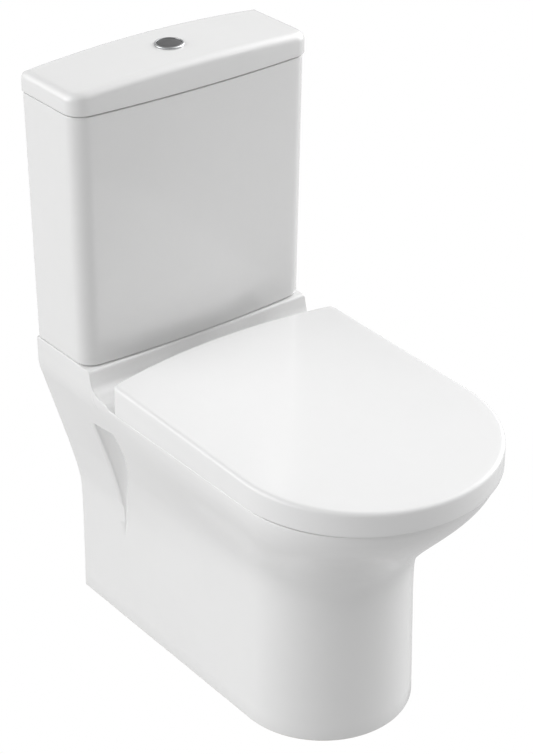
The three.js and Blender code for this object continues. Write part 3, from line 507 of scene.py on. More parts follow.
def trap_rows(offset, round_angle, pivot_out, swing, tilt):
    """Circles along a smooth line from the end of the bend, over the weir and down to the outlet."""
    start = np.array([pivot_out + swing * math.cos(tilt), DAM_Z - swing * math.sin(tilt)])
    heading = np.array([-math.sin(tilt), -math.cos(tilt)])
    back = np.array([-1, 0])
    legs = [(start, heading * 110, WEIR, back * 100), (WEIR, back * 110, OUTLET, back * 110)]
    centres, ways = [], []
    for p, v, q, w in legs:
        t = np.linspace(0, 1, 13)[1:, None]
        centres.append((2 * t**3 - 3 * t**2 + 1) * p + (t**3 - 2 * t**2 + t) * v
                       + (3 * t**2 - 2 * t**3) * q + (t**3 - t**2) * w)
        ways.append((6 * t**2 - 6 * t) * (p - q) + (3 * t**2 - 4 * t + 1) * v + (3 * t**2 - 2 * t) * w)
    centres, ways = np.concatenate(centres), np.concatenate(ways)
    ways /= np.hypot(ways[:, 0], ways[:, 1])[:, None]
    socket = smooth((84 - centres[:, 0]) / 8)
    radius = (TRAP_BORE + 6 * socket if not offset else 46 + 5 * smooth((96 - centres[:, 0]) / 8))[:, None]
    side = np.sin(round_angle) * radius
    x = np.cos(round_angle) * radius
    return list(zip(x, centres[:, :1] + side * ways[:, 1:], centres[:, 1:] - side * ways[:, :1]))


def pan_layer(offset, sizes):
    """All points of the pan's glazed skin, or of its back at a wall's thickness, and the quads.

    Three grids share their edges: the skirt, the rear of the top from the wall to the seat, and a
    ring from the rest of the top down through the bowl and the trap.
    """
    x, out, z = pan_wall(offset, sizes)
    wall_points = np.concatenate([placed(x, out, z), placed(-x, out, z)[:, -2::-1]], 1)
    rows, cols = wall_points.shape[:2]
    quads = [grid_quads(rows, cols, around=False)]
    split = 6 + BAND
    across = np.linspace(1, -1, 41)
    rear_x = x[-1, : split + 1, None] * across
    rear_out = out[-1, : split + 1, None] + 0 * across
    rear_points = placed(rear_x, rear_out, z[-1, : split + 1, None])
    quads.append(grid_quads(split + 1, 41, around=False) + rows * cols)
    edge_x = np.concatenate([x[-1, :split - 1:-1], rear_x[-1, 1:21]])
    edge_out = np.concatenate([out[-1, :split - 1:-1], rear_out[-1, 1:21]])
    angle, share = bowl_turn(len(edge_x))
    bx, bout, bz = bowl_rows(offset, angle, share)
    blend = np.linspace(0, 1, 8)[:-1, None]
    level = z[-1, -1]
    half_x = np.concatenate([lerp(edge_x, bx[0], blend), bx])
    half_out = np.concatenate([lerp(edge_out, bout[0], blend), bout])
    half_z = np.concatenate([level + 0 * lerp(edge_x, bx[0], blend), bz])
    loop_x, loop_out = mirrored_loop(half_x, half_out)
    loop_z = np.concatenate([half_z, half_z[:, -2:0:-1]], 1)
    bowl_points = placed(loop_x, loop_out, loop_z)
    count = rows * cols + rear_points.shape[0] * rear_points.shape[1]
    quads.append(grid_quads(*bowl_points.shape[:2])[:, ::-1] + count)
    points = np.concatenate([g.reshape(-1, 3) for g in (wall_points, rear_points, bowl_points)])
    return points, quads


def thickened(front, back, quads):
    """A closed shell from two layers with the same quads: the back is turned over, and a strip of
    quads joins the two along every free edge."""
    count = len(front)
    edges = np.concatenate([quads[:, [i, (i + 1) % 4]] for i in range(4)])
    edges = edges[edges[:, 0] != edges[:, 1]]
    key = edges[:, 0] * count + edges[:, 1]
    free = edges[~np.isin(key, edges[:, 1] * count + edges[:, 0])]
    strip = np.stack([free[:, 1], free[:, 0], free[:, 0] + count, free[:, 1] + count], -1)
    points = np.concatenate([front, back])
    return points, np.concatenate([quads, quads[:, ::-1] + count, strip])


def joined(points, grain=2e-6):
    """Numbers points that coincide as one: returns each point's first twin."""
    _, first, back = np.unique(
        np.round(points / grain).astype(np.int64), axis=0, return_index=True, return_inverse=True
    )
    return first[back.ravel()]


def pan_shells(sizes):
    """The skin thickened to a wall, the well round the flush hole and the duct to the bowl."""
    front, patches = pan_layer(0.0, sizes)
    back, _ = pan_layer(sizes.pan_wall / MM, sizes)
    twin = joined(front)
    quads = np.concatenate(facing_out([twin[patch] for patch in patches], front))
    points, faces = thickened(front, back, quads)
    body = (points, faces if volume(points, faces) > 0 else faces[:, ::-1])
    well = pad(-58, 58, 14, 112, 334, 417, corner=40, edge=6)
    duct = pad(-46, 46, 60, 238, 334, 382, corner=10, edge=8)
    return [body, well, duct]


def facing_out(patches, points):
    """Turns each patch so that its faces point out of the ceramic: outwards on the skirt, and
    upwards on the top, judged by a face's own normal."""
    made = []
    for index, quads in enumerate(patches):
        face = quads[2000 if index == 0 else 0]
        p = points[face]
        normal = np.cross(p[1] - p[0], p[2] - p[0])
        wanted = np.array([np.sign(p[0][0]) if index == 0 else 0, 0, index > 0])
        made.append(quads if normal @ wanted > 0 else quads[:, ::-1])
    return made


# ---- Cistern and its lid

TANK_BACK, TANK_BOTTOM, TANK_TOP = 5.2, 429.0, 780.5
TANK_BOW, TANK_CORNER, TANK_WALL = 9.2, 26.0, 10.0
# Half width and depth of the cistern at its floor and at its top, and of its lid.
TANK_HALF, TANK_DEPTH = (180.5, 183.5), (113, 119)
LID_OVER_HALF, LID_OVER_DEPTH, LID_THICK = 185.3, 120.8, 11.0
LID_SEAM, HOLE_RADIUS = 2.6, 18.3


def tank_loop(half, depth, inset):
    """Plan outline of the cistern: small back corners, round front corners and a bowed front.

    The front is a parabola, bow times one less (x / half) squared. Each front corner is an arc
    from the side to the place where the parabola has the arc's own slope.
    """
    wide = half - inset
    back, front = TANK_BACK + inset, TANK_BACK + depth - inset
    big, small = max(TANK_CORNER - inset, 3.0), max(4.0 - inset, 1.0)
    bow = lambda x: TANK_BOW * (1 - (x / half) ** 2)
    slope = math.atan(2 * TANK_BOW * (wide - big) / half**2)
    turn = np.linspace(0, math.pi / 2, 5)
    last = math.pi / 2 - slope
    sweep = np.linspace(0, last, 13)
    end_x = wide - big + big * math.cos(last)
    centre_out = front + bow(end_x) - big * math.sin(last)
    rear_x = np.linspace(0, wide - small, 9)[:-1]
    side_out = np.linspace(back + small, centre_out, 9)[1:-1]
    front_x = np.linspace(end_x, 0, 17)[1:]
    x = np.concatenate([rear_x, wide - small + small * np.sin(turn), wide + 0 * side_out,
                        wide - big + big * np.cos(sweep), front_x])
    out = np.concatenate([back + 0 * rear_x, back + small - small * np.cos(turn), side_out,
                          centre_out + big * np.sin(sweep), front + bow(front_x)])
    return mirrored_loop(x, out)


def tank_level(z, inset, height=None):
    """One level of the cistern's body, which narrows a little towards its floor."""
    t = (z - TANK_BOTTOM) / (TANK_TOP - TANK_BOTTOM)
    return (*tank_loop(lerp(*TANK_HALF, t), lerp(*TANK_DEPTH, t), inset), z)


def stacked(levels, peaks=(True, True)):
    """Points of a stack of (x, out, z) loops, with a pole at either end where peaks says so."""
    grid = np.stack([placed(x, out, z + 0 * x) for x, out, z in levels])
    first, last = grid[:1].mean(1, keepdims=True), grid[-1:].mean(1, keepdims=True)
    spread = np.ones((1, grid.shape[1], 1))
    parts = [first * spread] * peaks[0] + [grid] + [last * spread] * peaks[1]
    return np.concatenate(parts)


def tank_shells():
    """Outside from the floor up, over the round lip, and down the inside to the floor."""
    edge, lip, wall = 5.0, 0.9, TANK_WALL
    arc = quarter(6)
    levels = [tank_level(TANK_BOTTOM, inset) for inset in (60, 30, 12)]
    levels += [tank_level(TANK_BOTTOM + edge * c, edge * s) for s, c in arc]
    levels += [tank_level(z, 0) for z in np.linspace(TANK_BOTTOM + edge, TANK_TOP - lip, 26)[1:]]
    levels += [tank_level(TANK_TOP - lip * s, lip * c) for s, c in arc[1:]]
    levels += [tank_level(TANK_TOP - lip * c, wall - lip * s) for s, c in arc]
    floor, bend = TANK_BOTTOM + 12, 14.0
    levels += [tank_level(z, wall) for z in np.linspace(TANK_TOP - lip, floor + bend, 14)[1:]]
    levels += [tank_level(floor + bend * s, wall + bend * c) for s, c in arc[1:]]
    levels += [tank_level(floor, inset) for inset in (36, 48)]
    return [shell(stacked(levels))]


def crown(x):
    """Height of the cistern lid's top: a parabola across it, as deep as the front's bow."""
    return LID_TOP_Z - TANK_BOW * (x / TANK_HALF[1]) ** 2


def lid_shells(sizes):
    """One closed loop of rows: from the button's hole over the crowned top and its rounded edge,
    down the side, under to the locating lip, up into the hollow and back to the hole."""
    under, lip = TANK_TOP + LID_SEAM, 0.8
    loop = lambda inset: tank_loop(LID_OVER_HALF, LID_OVER_DEPTH, inset)
    edge = sizes.lid_edge / MM
    arc = quarter(9)
    rows = []
    rim = loop(edge)
    angle = np.arctan2(rim[1] - BUTTON_OUT, rim[0])
    hole = HOLE_RADIUS * np.cos(angle), BUTTON_OUT + HOLE_RADIUS * np.sin(angle)
    for share in (0, 0.04, 0.1, 0.2, 0.35, 0.5, 0.65, 0.8, 0.92):
        x, out = between(hole, rim, share)
        rows.append((x, out, crown(x)))
    for s, c in arc[::-1]:
        x, out = loop(edge * c)
        rows.append((x, out, crown(x) - edge * s))
    side = loop(0)
    low = crown(side[0]) - edge
    for t in (0.3, 0.6, 1):
        rows.append((*side, lerp(low, under + lip, t)))
    for s, c in arc[::2][1:]:
        rows.append((*loop(lip * c), under + lip * s))
    rows.append((*loop(12.2), under))
    for z, inset in ((-0.6, 13.4), (-7.4, 13.6), (-8, 14.2), (-8, 17.2), (-7.2, 17.8)):
        rows.append((*loop(inset), under + z))
    ceiling = lambda x: crown(x) - LID_THICK
    for inset, drop in ((17.8, 5), (19, 1.2), (23, 0)):
        inner = loop(inset)
        rows.append((*inner, ceiling(inner[0]) - drop))
    for share in (0.7, 0.4, 0.15, 0):
        x, out = between(hole, inner, share)
        rows.append((x, out, ceiling(x)))
    return [shell(stacked(rows, (False, False)), along=True)]


# ---- Seat

ARC_OUT, FRONT_OUT, LID_HALF = 457.4, 635.5, 182.0
LID_BOTTOM, LID_REAR_OUT, LID_REAR_Z, LID_FRONT_Z = 392.8, 160.3, 436.5, 425.5
RING_REAR_OUT, RING_BOTTOM, RING_TOP = 205.5, 397.0, 416.0
SKIRT_HALF, SKIRT_Z = 140.0, 429.0
LID_BOW, LID_CORNER, RING_HALF, RING_CORNER = 21.2, 10.0, 174.5, 12.0
OPENING_HALF, OPENING_FRONT, OPENING_REAR = 105, 562.4, 262.5


def seat_loop(half, inset, rear_out, bow, corner):
    """Plan outline of the seat: bowed back, round rear corners, straight sides, and a half ellipse
    in front. The back is rear_out plus bow times (x / half) squared."""
    wide = half - inset
    reach = FRONT_OUT - ARC_OUT - (LID_HALF - half) - inset
    radius = max(corner - inset, 1.5)
    rear = lambda x: rear_out + bow * (x / LID_HALF) ** 2 + inset
    tilt = math.atan(2 * bow * (wide - radius) / LID_HALF**2)
    sweep = np.linspace(-math.pi / 2 + tilt, 0, 9)
    start_x = wide - radius + radius * math.cos(sweep[0])
    centre_out = rear(start_x) - radius * math.sin(sweep[0])
    rear_x = np.concatenate([np.linspace(0, 0.68, 9), np.linspace(0.7, 0.81, 12), [0.86, 0.92]]) * start_x
    side_out = lerp(centre_out, ARC_OUT, np.arange(1, 16) / 16)
    angle = np.linspace(0, math.pi / 2, 37)
    x = np.concatenate([rear_x, wide - radius + radius * np.cos(sweep), wide + 0 * side_out,
                        wide * np.cos(angle)])
    out = np.concatenate([rear(rear_x), centre_out + radius * np.sin(sweep), side_out,
                          ARC_OUT + reach * np.sin(angle)])
    return mirrored_loop(x, out)


def lid_top(out):
    t = (out - LID_REAR_OUT) / (FRONT_OUT - LID_REAR_OUT)
    return lerp(LID_REAR_Z, LID_FRONT_Z, t)


def seat_lid_shells(sizes):
    """The lid from its ceiling's middle out, down the inside, round the bottom lip, up the outside,
    over the rounded edge and in to the middle of the top. The back skirt is cut short between the
    hinges."""
    loop = lambda inset: seat_loop(LID_HALF, inset, LID_REAR_OUT, LID_BOW, LID_CORNER)
    edge, wall, lip = sizes.seat_edge / MM, 4.6, 1.4
    centre = (0.0, 390.0)
    arc = quarter(9)

    def bottom(x, out):
        behind = out < HINGE_OUT + 9
        return lerp(LID_BOTTOM, SKIRT_Z, behind * smooth((SKIRT_HALF + 3 - np.abs(x)) / 6))

    rows = []
    ceiling = loop(wall + 6)
    for share in (0.3, 0.55, 0.8):
        x, out = between(centre, ceiling, share)
        rows.append((x, out, lid_top(out) - wall))
    for s, c in arc[::-2]:
        x, out = loop(wall + 6 * c)
        rows.append((x, out, lid_top(out) - wall - 6 * s))
    x, out = loop(wall)
    foot = bottom(x, out)
    start = np.maximum(lid_top(out) - wall - 6, foot + lip)
    rows[-1] = (x, out, start)
    for t in (0.5, 1):
        rows.append((x, out, lerp(start, foot + lip, t)))
    for s, c in arc[::2][1:]:
        rows.append((*loop(wall - lip * c), foot + lip * s))
    for s, c in arc[::2]:
        rows.append((*loop(lip * s), foot + lip * c))
    x, out = loop(0)
    shoulder = lid_top(out) - edge
    low = np.minimum(foot + lip, shoulder)
    for t in (0.25, 0.5, 0.75, 1):
        rows.append((x, out, lerp(low, shoulder, t)))
    for s, c in arc[1:]:
        x, out = loop(edge * c)
        rows.append((x, out, lid_top(out) - edge * s))
    rim = loop(edge)
    for share in (0.97, 0.9, 0.75, 0.5, 0.25):
        x, out = between(centre, rim, share)
        rows.append((x, out, lid_top(out)))
    barrel = axle(band(6.4, 8.5, 30.5, 72), radius=0.5)
    web = pad(30.5, 72, HINGE_OUT - 4, HINGE_OUT + 4, HINGE_Z + 6.6, lid_top(HINGE_OUT) - 3, 2, 0.5)
    return [shell(stacked(rows))] + both_sides([barrel, web])


def opening_loop(count, grow):
    """The seat's opening: round front, straight sides and a rounder back, with its points spread
    evenly by angle about its middle."""
    wide, front, rear = OPENING_HALF + grow, OPENING_FRONT + grow, OPENING_REAR - grow
    fore, aft = front - wide, rear + wide * 0.8
    back_arc, straight, front_arc = 148, 110, 165
    s = np.linspace(0, 1, 2000) * (back_arc + straight + front_arc)
    angle = np.where(s < back_arc, -math.pi / 2 * (1 - s / back_arc),
                     math.pi / 2 * np.clip((s - back_arc - straight) / front_arc, 0, 1))
    share = np.clip((s - back_arc) / straight, 0, 1)
    x = wide * np.cos(angle)
    out = lerp(aft, fore, share) + np.where(angle > 0, front - fore, aft - rear) * np.sin(angle)
    steps = np.concatenate([[0], np.cumsum(np.hypot(np.diff(x), np.diff(out)))])
    even = np.linspace(0, steps[-1], count)
    return mirrored_loop(np.interp(even, steps, x), np.interp(even, steps, out))


def seat_ring_shells():
    """The ring as a closed loop of rows between its outline and its opening, with a crowned top,
    and the hinge lugs and arms behind it."""
    loop = lambda inset: seat_loop(RING_HALF, inset, RING_REAR_OUT, 0.0, RING_CORNER)
    count = (len(loop(0)[0]) + 2) // 2
    opening = lambda grow: opening_loop(count, grow)
    arc = quarter(6)
    rows = []
    low, high = 3.0, 6.0
    for s, c in arc:
        rows.append((*loop(low * s), RING_BOTTOM + low * c))
    for s, c in arc:
        rows.append((*loop(high * 1.5 * c), RING_TOP - high * s))
    outer, inner = loop(high * 1.5), opening(9.0)
    for share in (0.2, 0.4, 0.6, 0.8):
        rows.append((*between(outer, inner, share), RING_TOP))
    for s, c in arc:
        rows.append((*opening(9.0 * s), RING_TOP - high * c))
    for s, c in arc:
        rows.append((*opening(low * c), RING_BOTTOM + low * s))
    outer, inner = loop(low), opening(low)
    for share in (0.75, 0.5, 0.25):
        rows.append((*between(outer, inner, share), RING_BOTTOM))
    lug = axle(band(4.3, 8, 83, 95), radius=0.6)
    arm = pad(83, 95, HINGE_OUT + 4.5, RING_REAR_OUT + 14, HINGE_Z - 7, HINGE_Z + 2, 3, 1.5)
    return [shell(stacked(rows, (False, False)), along=True)] + both_sides([lug, arm])


# ---- Turned and moulded small parts

# Turned parts: x and distance from the wall of the axis, body, finish, radius of the softened
# corners, and the section's (radius, z) corners; a closed section starts off the axis. A part whose
# x is above zero has a mirror image.
TURNED_PARTS = {
    "button_housing": (0, BUTTON_OUT, "cistern_lid", "chrome", 0.35, [
        (5, 796), (18, 796), (18, 820.3), (19.6, 820.3), (19.6, 821.7), (18.7, 822.5), (16.9, 822.5),
        (16.9, 798), (5, 798)]),
    "flush_button": (0, BUTTON_OUT, "flush_button", "button_chrome", 0.5, [
        (0, 790), (4, 790), (4, 816), (16.5, 816), (16.5, 821.5), (15.6, 822.1), (8, 822.3),
        (0, 822.35)]),
    "button_nut": (0, BUTTON_OUT, "cistern_lid", "white_plastic", 0.8, band(18.3, 25, 800, 807.8)),
    "push_rod": (0, BUTTON_OUT, "flush_button", "white_plastic", 0.5, [
        (0, 742), (26, 742), (26, 745), (3, 745), (3, 789.7), (0, 789.7)]),
    "flush_valve_washer": (0, BUTTON_OUT, "root", "rubber", 0.8, band(30.3, 38, 441.3, 444)),
    "flush_valve_nut": (0, BUTTON_OUT, "root", "white_plastic", 0.8, band(30.3, 37, 416.5, 428.2)),
    "doughnut_washer": (0, BUTTON_OUT, "root", "rubber", 1.2, [
        (37.6, 414.5), (43, 414.5), (45.6, 424.5), (45.6, 428.5), (37.6, 428.5)]),
    "flush_valve_core": (0, BUTTON_OUT, "valve_core", "blue_plastic", 0.5, [
        (13, 453.3), (27, 453.3), (27, 458.3), (16, 463.3), (16, 690), (13, 690)]),
    "flush_valve_seal": (0, BUTTON_OUT, "valve_core", "rubber", 0.8, band(20, 28.4, 449.6, 453)),
    "fill_valve_body": (-120, 66, "root", "white_plastic", 0.6, [
        (6, 392.5), (10.3, 392.5), (10.3, 444.3), (16, 444.3), (16, 448.3), (9, 452.3), (9, 690),
        (6, 690)]),
    "fill_valve_washer": (-120, 66, "root", "rubber", 0.8, band(10.6, 17, 441.3, 444)),
    "float_cup": (-120, 66, "float", "white_plastic", 0.6, [
        (9.6, 598), (12, 598), (12, 645), (24, 645), (24, 598), (26, 598), (26, 648), (9.6, 648)]),
    "coupling_bolt": (75, BUTTON_OUT, "root", "brass", 0.4, [
        (0, 389.5), (3.9, 389.5), (3.9, 444.6), (9, 444.6), (9, 447.6), (6, 449.6), (0, 449.6)]),
    "coupling_seal": (75, BUTTON_OUT, "root", "rubber", 0.8, band(4.2, 12, 441.3, 444.3)),
    "coupling_washer": (75, BUTTON_OUT, "root", "steel", 0.3, band(4.2, 12, 413.2, 415.2)),
    "seat_bolt": (HINGE_X, 192.5, "root", "steel", 0.4, [
        (0, 349.3), (3.9, 349.3), (3.9, 395.1), (6, 395.1), (6, 397.7), (5, 398.5), (0, 398.5)]),
    "seat_bolt_sleeve": (HINGE_X, 192.5, "root", "grey_rubber", 0.3, band(4.2, 6, 359.3, 390.7)),
    "seat_buffer_rear": (155, 327, "seat", "grey_rubber", 1.0, band(0, 8, 391.3, 396.7)),
    "seat_buffer_front": (109, 564, "seat", "grey_rubber", 1.0, band(0, 8, 391.3, 396.7)),
    "lid_buffer": (118, 542, "seat_lid", "grey_rubber", 1.0, band(0, 6, 416.3, 422.2)),
}


def hinge_mount_shells():
    """A foot plate, a post and the eye that the hinge pin turns in."""
    plate = pad(66.5, 88.5, 168.5, 203.5, 391.3, 394.8, 11, 1.2)
    post = pad(72.5, 82.5, 172.5, 184.5, 393.6, 415.5, 3, 0.6)
    eye = axle(band(4.3, 6.5, 72.5, 82.5), radius=0.6)
    return [plate, post, eye]


def flush_base_shells():
    """Flanged outlet, four posts and the guide ring that they carry."""
    outlet = [(25, 398.5), (30, 398.5), (30, 444.3), (38, 444.3), (38, 448.3), (27, 448.3), (26, 449.3),
              (25, 449.3)]
    ring = band(16.5, 36, 541.3, 549.3)
    made = [turned(section, 0, BUTTON_OUT) for section in (outlet, ring)]
    home = np.array([0, WALL, 0]) * MM
    for quarter_turns in range(4):
        points, quads = pad(31, 35, -4.5, 4.5, 448, 542, 1, 0.4)
        turn = np.array(Matrix.Rotation(math.pi / 4 + quarter_turns * math.pi / 2, 3, "Z"))
        made.append(((points - home) @ turn.T + home - np.array([0, BUTTON_OUT, 0]) * MM, quads))
    return made


def actuator_shells():
    """The collar on top of the flush valve, on its two legs."""
    collar = turned(band(16.5, 31, 664, 682), 0, BUTTON_OUT, radius=1.5)
    leg = pad(23, 29, BUTTON_OUT - 5, BUTTON_OUT + 5, 549.6, 666, 2, 0.5)
    return [collar] + both_sides([leg])


def fill_head_shells():
    """The fill valve's cap and the ears that its float lever turns between."""
    x, out = -120, 66
    cap = turned([(0, 690.3), (17, 690.3), (17, 709), (12, 712), (0, 712)], x, out, radius=1.5)
    places = ((3.5, 6.5), (-6.5, -3.5))
    return [cap] + [pad(x - 12, x - 4, out + a, out + b, 709, 726, 3, 0.5) for a, b in places]


def wing_nut_shells():
    """The hub of a wing nut and its two wings."""
    hub = turned(band(4.2, 8, 402.9, 412.9), 75, BUTTON_OUT, radius=0.8)
    near, far = BUTTON_OUT - 1.5, BUTTON_OUT + 1.5
    return [hub] + [pad(a, b, near, far, 398.9, 410.9, 1.4, 0.5) for a, b in ((81.5, 91), (59, 68.5))]


# ---- Finishes

def node_group(name, inputs, output):
    """An empty shader group: itself, its inputs' sockets, and its output's."""
    group = bpy.data.node_groups.new(name, "ShaderNodeTree")
    for label, default in inputs.items():
        kind = "NodeSocketFloat" if isinstance(default, float) else "NodeSocketColor"
        group.interface.new_socket(name=label, in_out="INPUT", socket_type=kind).default_value = default
    kind = "NodeSocketColor" if output == "Colour" else "NodeSocketFloat"
    group.interface.new_socket(name=output, in_out="OUTPUT", socket_type=kind)
    return group, group.nodes.new("NodeGroupInput").outputs, group.nodes.new("NodeGroupOutput").inputs[0]


def add(tree, kind, settings=None, **values):
    """Adds a shader node, sets its plain properties, and sets or links its inputs by name, or by
    number after a low line."""
    node = tree.nodes.new("ShaderNode" + kind)
    for key, value in (settings or {}).items():
        setattr(node, key, value)
    for key, value in values.items():
        socket = node.inputs[int(key[1:])] if key[0] == "_" else node.inputs[key.replace("_", " ")]
        if isinstance(value, bpy.types.NodeSocket):
            tree.links.new(value, socket)
        else:
            socket.default_value = value
    return node


def sum_of(tree, operation, *values):
    """The result of a Math node."""
    node = add(tree, "Math", {"operation": operation}, **{f"_{i}": value for i, value in enumerate(values)})
    return node.outputs[0]


def noise(tree, scale, place=None, **values):
    """Noise on the piece's own coordinates, or at the place given."""
    place = place or add(tree, "TexCoord").outputs["Object"]
    return add(tree, "TexNoise", Vector=place, Scale=scale, **values).outputs[0]


def mixed(tree, kind, share, a, b):
    """A mix of two colours or two numbers by a share; their inputs have different places."""
    first, second, result = (6, 7, 2) if kind == "RGBA" else (2, 3, 0)
    node = add(tree, "Mix", {"data_type": kind}, **{"_0": share, f"_{first}": a, f"_{second}": b})
    return node.outputs[result]


def mottle_group():
    """Slow changes of tone: two sizes of noise on the piece's own coordinates, mixed and narrowed."""
    white = (1, 1, 1, 1)
    inputs = {"Scale": 12.0, "Amount": 0.5, "Tone A": white, "Tone B": white}
    group, given, result = node_group("Mottling", inputs, "Colour")
    broad = noise(group, given["Scale"], Detail=3.0)
    speckle = noise(group, sum_of(group, "MULTIPLY", given["Scale"], 7.0), Detail=4.0)
    both = sum_of(group, "MULTIPLY_ADD", speckle, 0.35, broad)
    mask = add(group, "MapRange", Value=both, From_Min=0.5, From_Max=0.85).outputs[0]
    share = sum_of(group, "MULTIPLY", mask, given["Amount"])
    group.links.new(mixed(group, "RGBA", share, given["Tone A"], given["Tone B"]), result)
    return group


def polish_group():
    """Roughness with faint wipe marks: noise stretched along one way, over a base value."""
    group, given, result = node_group("Polish", {"Base": 0.1, "Spread": 0.05}, "Roughness")
    place = add(group, "TexCoord").outputs["Object"]
    turn = add(group, "Mapping", Vector=place, Rotation=(0.3, 0.5, 0.9), Scale=(1, 6, 1))
    marks = noise(group, 20.0, turn.outputs[0], Detail=6.0, Roughness=0.65)
    group.links.new(sum_of(group, "MULTIPLY_ADD", marks, given["Spread"], given["Base"]), result)
    return group


def relief_group():
    """Height of a cast or moulded skin: a slow wave and a fine peel, in shares of the bump."""
    inputs = {"Wave scale": 9.0, "Peel scale": 420.0, "Peel": 0.06}
    group, given, result = node_group("Skin relief", inputs, "Height")
    wave = noise(group, given["Wave scale"], Detail=1.0)
    peel = noise(group, given["Peel scale"], Detail=2.0)
    group.links.new(sum_of(group, "MULTIPLY_ADD", peel, given["Peel"], wave), result)
    return group


def in_group(tree, group, **values):
    """The result of one use of a shared group, with some of its inputs set."""
    node = tree.nodes.new("ShaderNodeGroup")
    node.node_tree = group
    for key, value in values.items():
        node.inputs[key.replace("_", " ")].default_value = value
    return node.outputs[0]


def finish_material(name, groups, tone, shade, amount, scale, rough, spread, bump, peel=0.06, wave=9.0,
                    peel_scale=420.0, **shader_values):
    """A material from the three shared groups, mottled from a tone to a share of it. Returns it,
    its shader, and the groups' colour and roughness."""
    material = bpy.data.materials.new(name)
    material.use_nodes = True
    tree = material.node_tree
    shader = tree.nodes["Principled BSDF"].inputs
    for key, value in shader_values.items():
        shader[key].default_value = value
    mottling, polish, skin = groups
    second = [c * shade for c in tone]
    colour = in_group(tree, mottling, Scale=scale, Amount=amount, Tone_A=(*tone, 1), Tone_B=(*second, 1))
    roughness = in_group(tree, polish, Base=rough, Spread=spread)
    height = in_group(tree, skin, Wave_scale=wave, Peel_scale=peel_scale, Peel=peel)
    raised = add(tree, "Bump", Strength=1.0, Distance=bump * MM, Height=height)
    tree.links.new(colour, shader["Base Color"])
    tree.links.new(roughness, shader["Roughness"])
    tree.links.new(raised.outputs[0], shader["Normal"])
    return material, shader, colour, roughness


def ceramic_material(groups, finishes):
    """Vitreous china: a clear glaze over a white body, bare and matt on the foot that it was fired on."""
    material, shader, colour, roughness = finish_material(
        "glazed_ceramic", groups, finishes.ceramic_colour, 0.965, 0.5, 6.0, finishes.ceramic_roughness, 0.05,
        0.05, peel=0.012, wave=7.0, **{"IOR": 1.52, "Coat Weight": 0.5, "Coat Roughness": 0.03},
    )
    tree = material.node_tree
    height = add(tree, "SeparateXYZ", Vector=add(tree, "TexCoord").outputs["Object"]).outputs["Z"]
    line = sum_of(tree, "MULTIPLY_ADD", noise(tree, 70.0), 0.002, height)
    low, high = BARE_FOOT
    bare = add(tree, "MapRange", Value=line, From_Min=low, From_Max=high, To_Min=1.0, To_Max=0.0).outputs[0]
    tree.links.new(mixed(tree, "RGBA", bare, colour, BISCUIT), shader["Base Color"])
    tree.links.new(mixed(tree, "FLOAT", bare, roughness, 0.85), shader["Roughness"])
    return material


def button_material(groups, finishes):
    """Satin plated disc, spun so that its fine marks run round the middle."""
    material, shader, _, _ = finish_material("satin_button", groups, finishes.button_colour, 0.8, 0.6, 60.0,
                                             0.3, 0.12, 0.01, Metallic=1.0)
    tree = material.node_tree
    centre = add(tree, "Mapping", {"vector_type": "POINT"}, Vector=add(tree, "TexCoord").outputs["Object"],
                 Location=(0, -(WALL - BUTTON_OUT) * MM, 0))
    rings = add(tree, "TexWave", {"wave_type": "RINGS", "rings_direction": "Z"},
                Vector=centre.outputs[0], Scale=900.0, Distortion=1.5, Detail=2.0)
    raised = add(tree, "Bump", Strength=0.25, Distance=0.00002, Height=rings.outputs["Fac"])
    tree.links.new(raised.outputs[0], shader["Normal"])
    return material


BISCUIT = (0.62, 0.58, 0.52, 1)  # the fired body where there is no glaze
BARE_FOOT = 0.0022, 0.003  # heights in metres between which the glaze begins
# Plain finishes by slot: name, tone, then amount and scale of the mottling, roughness and its
# spread, depth of the bump in millimetres, share of peel, and how metallic.
PLAIN_FINISHES = {
    "rubber": ("black_rubber", (0.03, 0.03, 0.032), 0.8, 60.0, 0.6, 0.3, 0.05, 0.8, 0.0),
    "grey_rubber": ("grey_rubber", (0.36, 0.37, 0.38), 0.6, 60.0, 0.55, 0.3, 0.04, 0.8, 0.0),
    "white_plastic": ("white_moulding", (0.78, 0.78, 0.76), 0.6, 30.0, 0.35, 0.2, 0.03, 0.4, 0.0),
    "blue_plastic": ("blue_moulding", (0.07, 0.19, 0.42), 0.6, 30.0, 0.35, 0.2, 0.03, 0.4, 0.0),
    "steel": ("plated_steel", (0.55, 0.56, 0.57), 0.6, 50.0, 0.25, 0.25, 0.03, 0.3, 1.0),
    "brass": ("turned_brass", (0.66, 0.5, 0.24), 0.7, 50.0, 0.25, 0.3, 0.03, 0.3, 1.0),
}


def make_materials(finishes):
    """Every finish by its slot's name; made once and kept by name."""
    if "glazed_ceramic" in bpy.data.materials:
        return {m["slot"]: m for m in bpy.data.materials if "slot" in m}
    groups = mottle_group(), polish_group(), relief_group()
    made = {
        "ceramic": ceramic_material(groups, finishes),
        "seat_plastic": finish_material(
            "gloss_seat_plastic", groups, finishes.seat_colour, 0.975, 0.4, 9.0, finishes.seat_roughness,
            0.06, 0.03, 0.02, 8.0, 260.0, **{"IOR": 1.49, "Coat Weight": 0.25, "Coat Roughness": 0.06})[0],
        "chrome": finish_material("chrome_plate", groups, finishes.metal_colour, 0.9, 0.3, 40.0, 0.05, 0.1,
                                  0.01, Metallic=1.0)[0],
        "button_chrome": button_material(groups, finishes),
    }
    for slot, (name, tone, *values, metallic) in PLAIN_FINISHES.items():
        made[slot] = finish_material(name, groups, tone, 0.9, *values, Metallic=metallic)[0]
    for slot, material in made.items():
        material["slot"] = slot
    return made


# ---- Settings

def length(name, text, default, low, high):
    return FloatProperty(name=name, description=text, default=default, min=low, max=high, unit="LENGTH")


def colour(name, text, default):
    return FloatVectorProperty(name=name, description=text, default=default, min=0, max=1, subtype="COLOR")


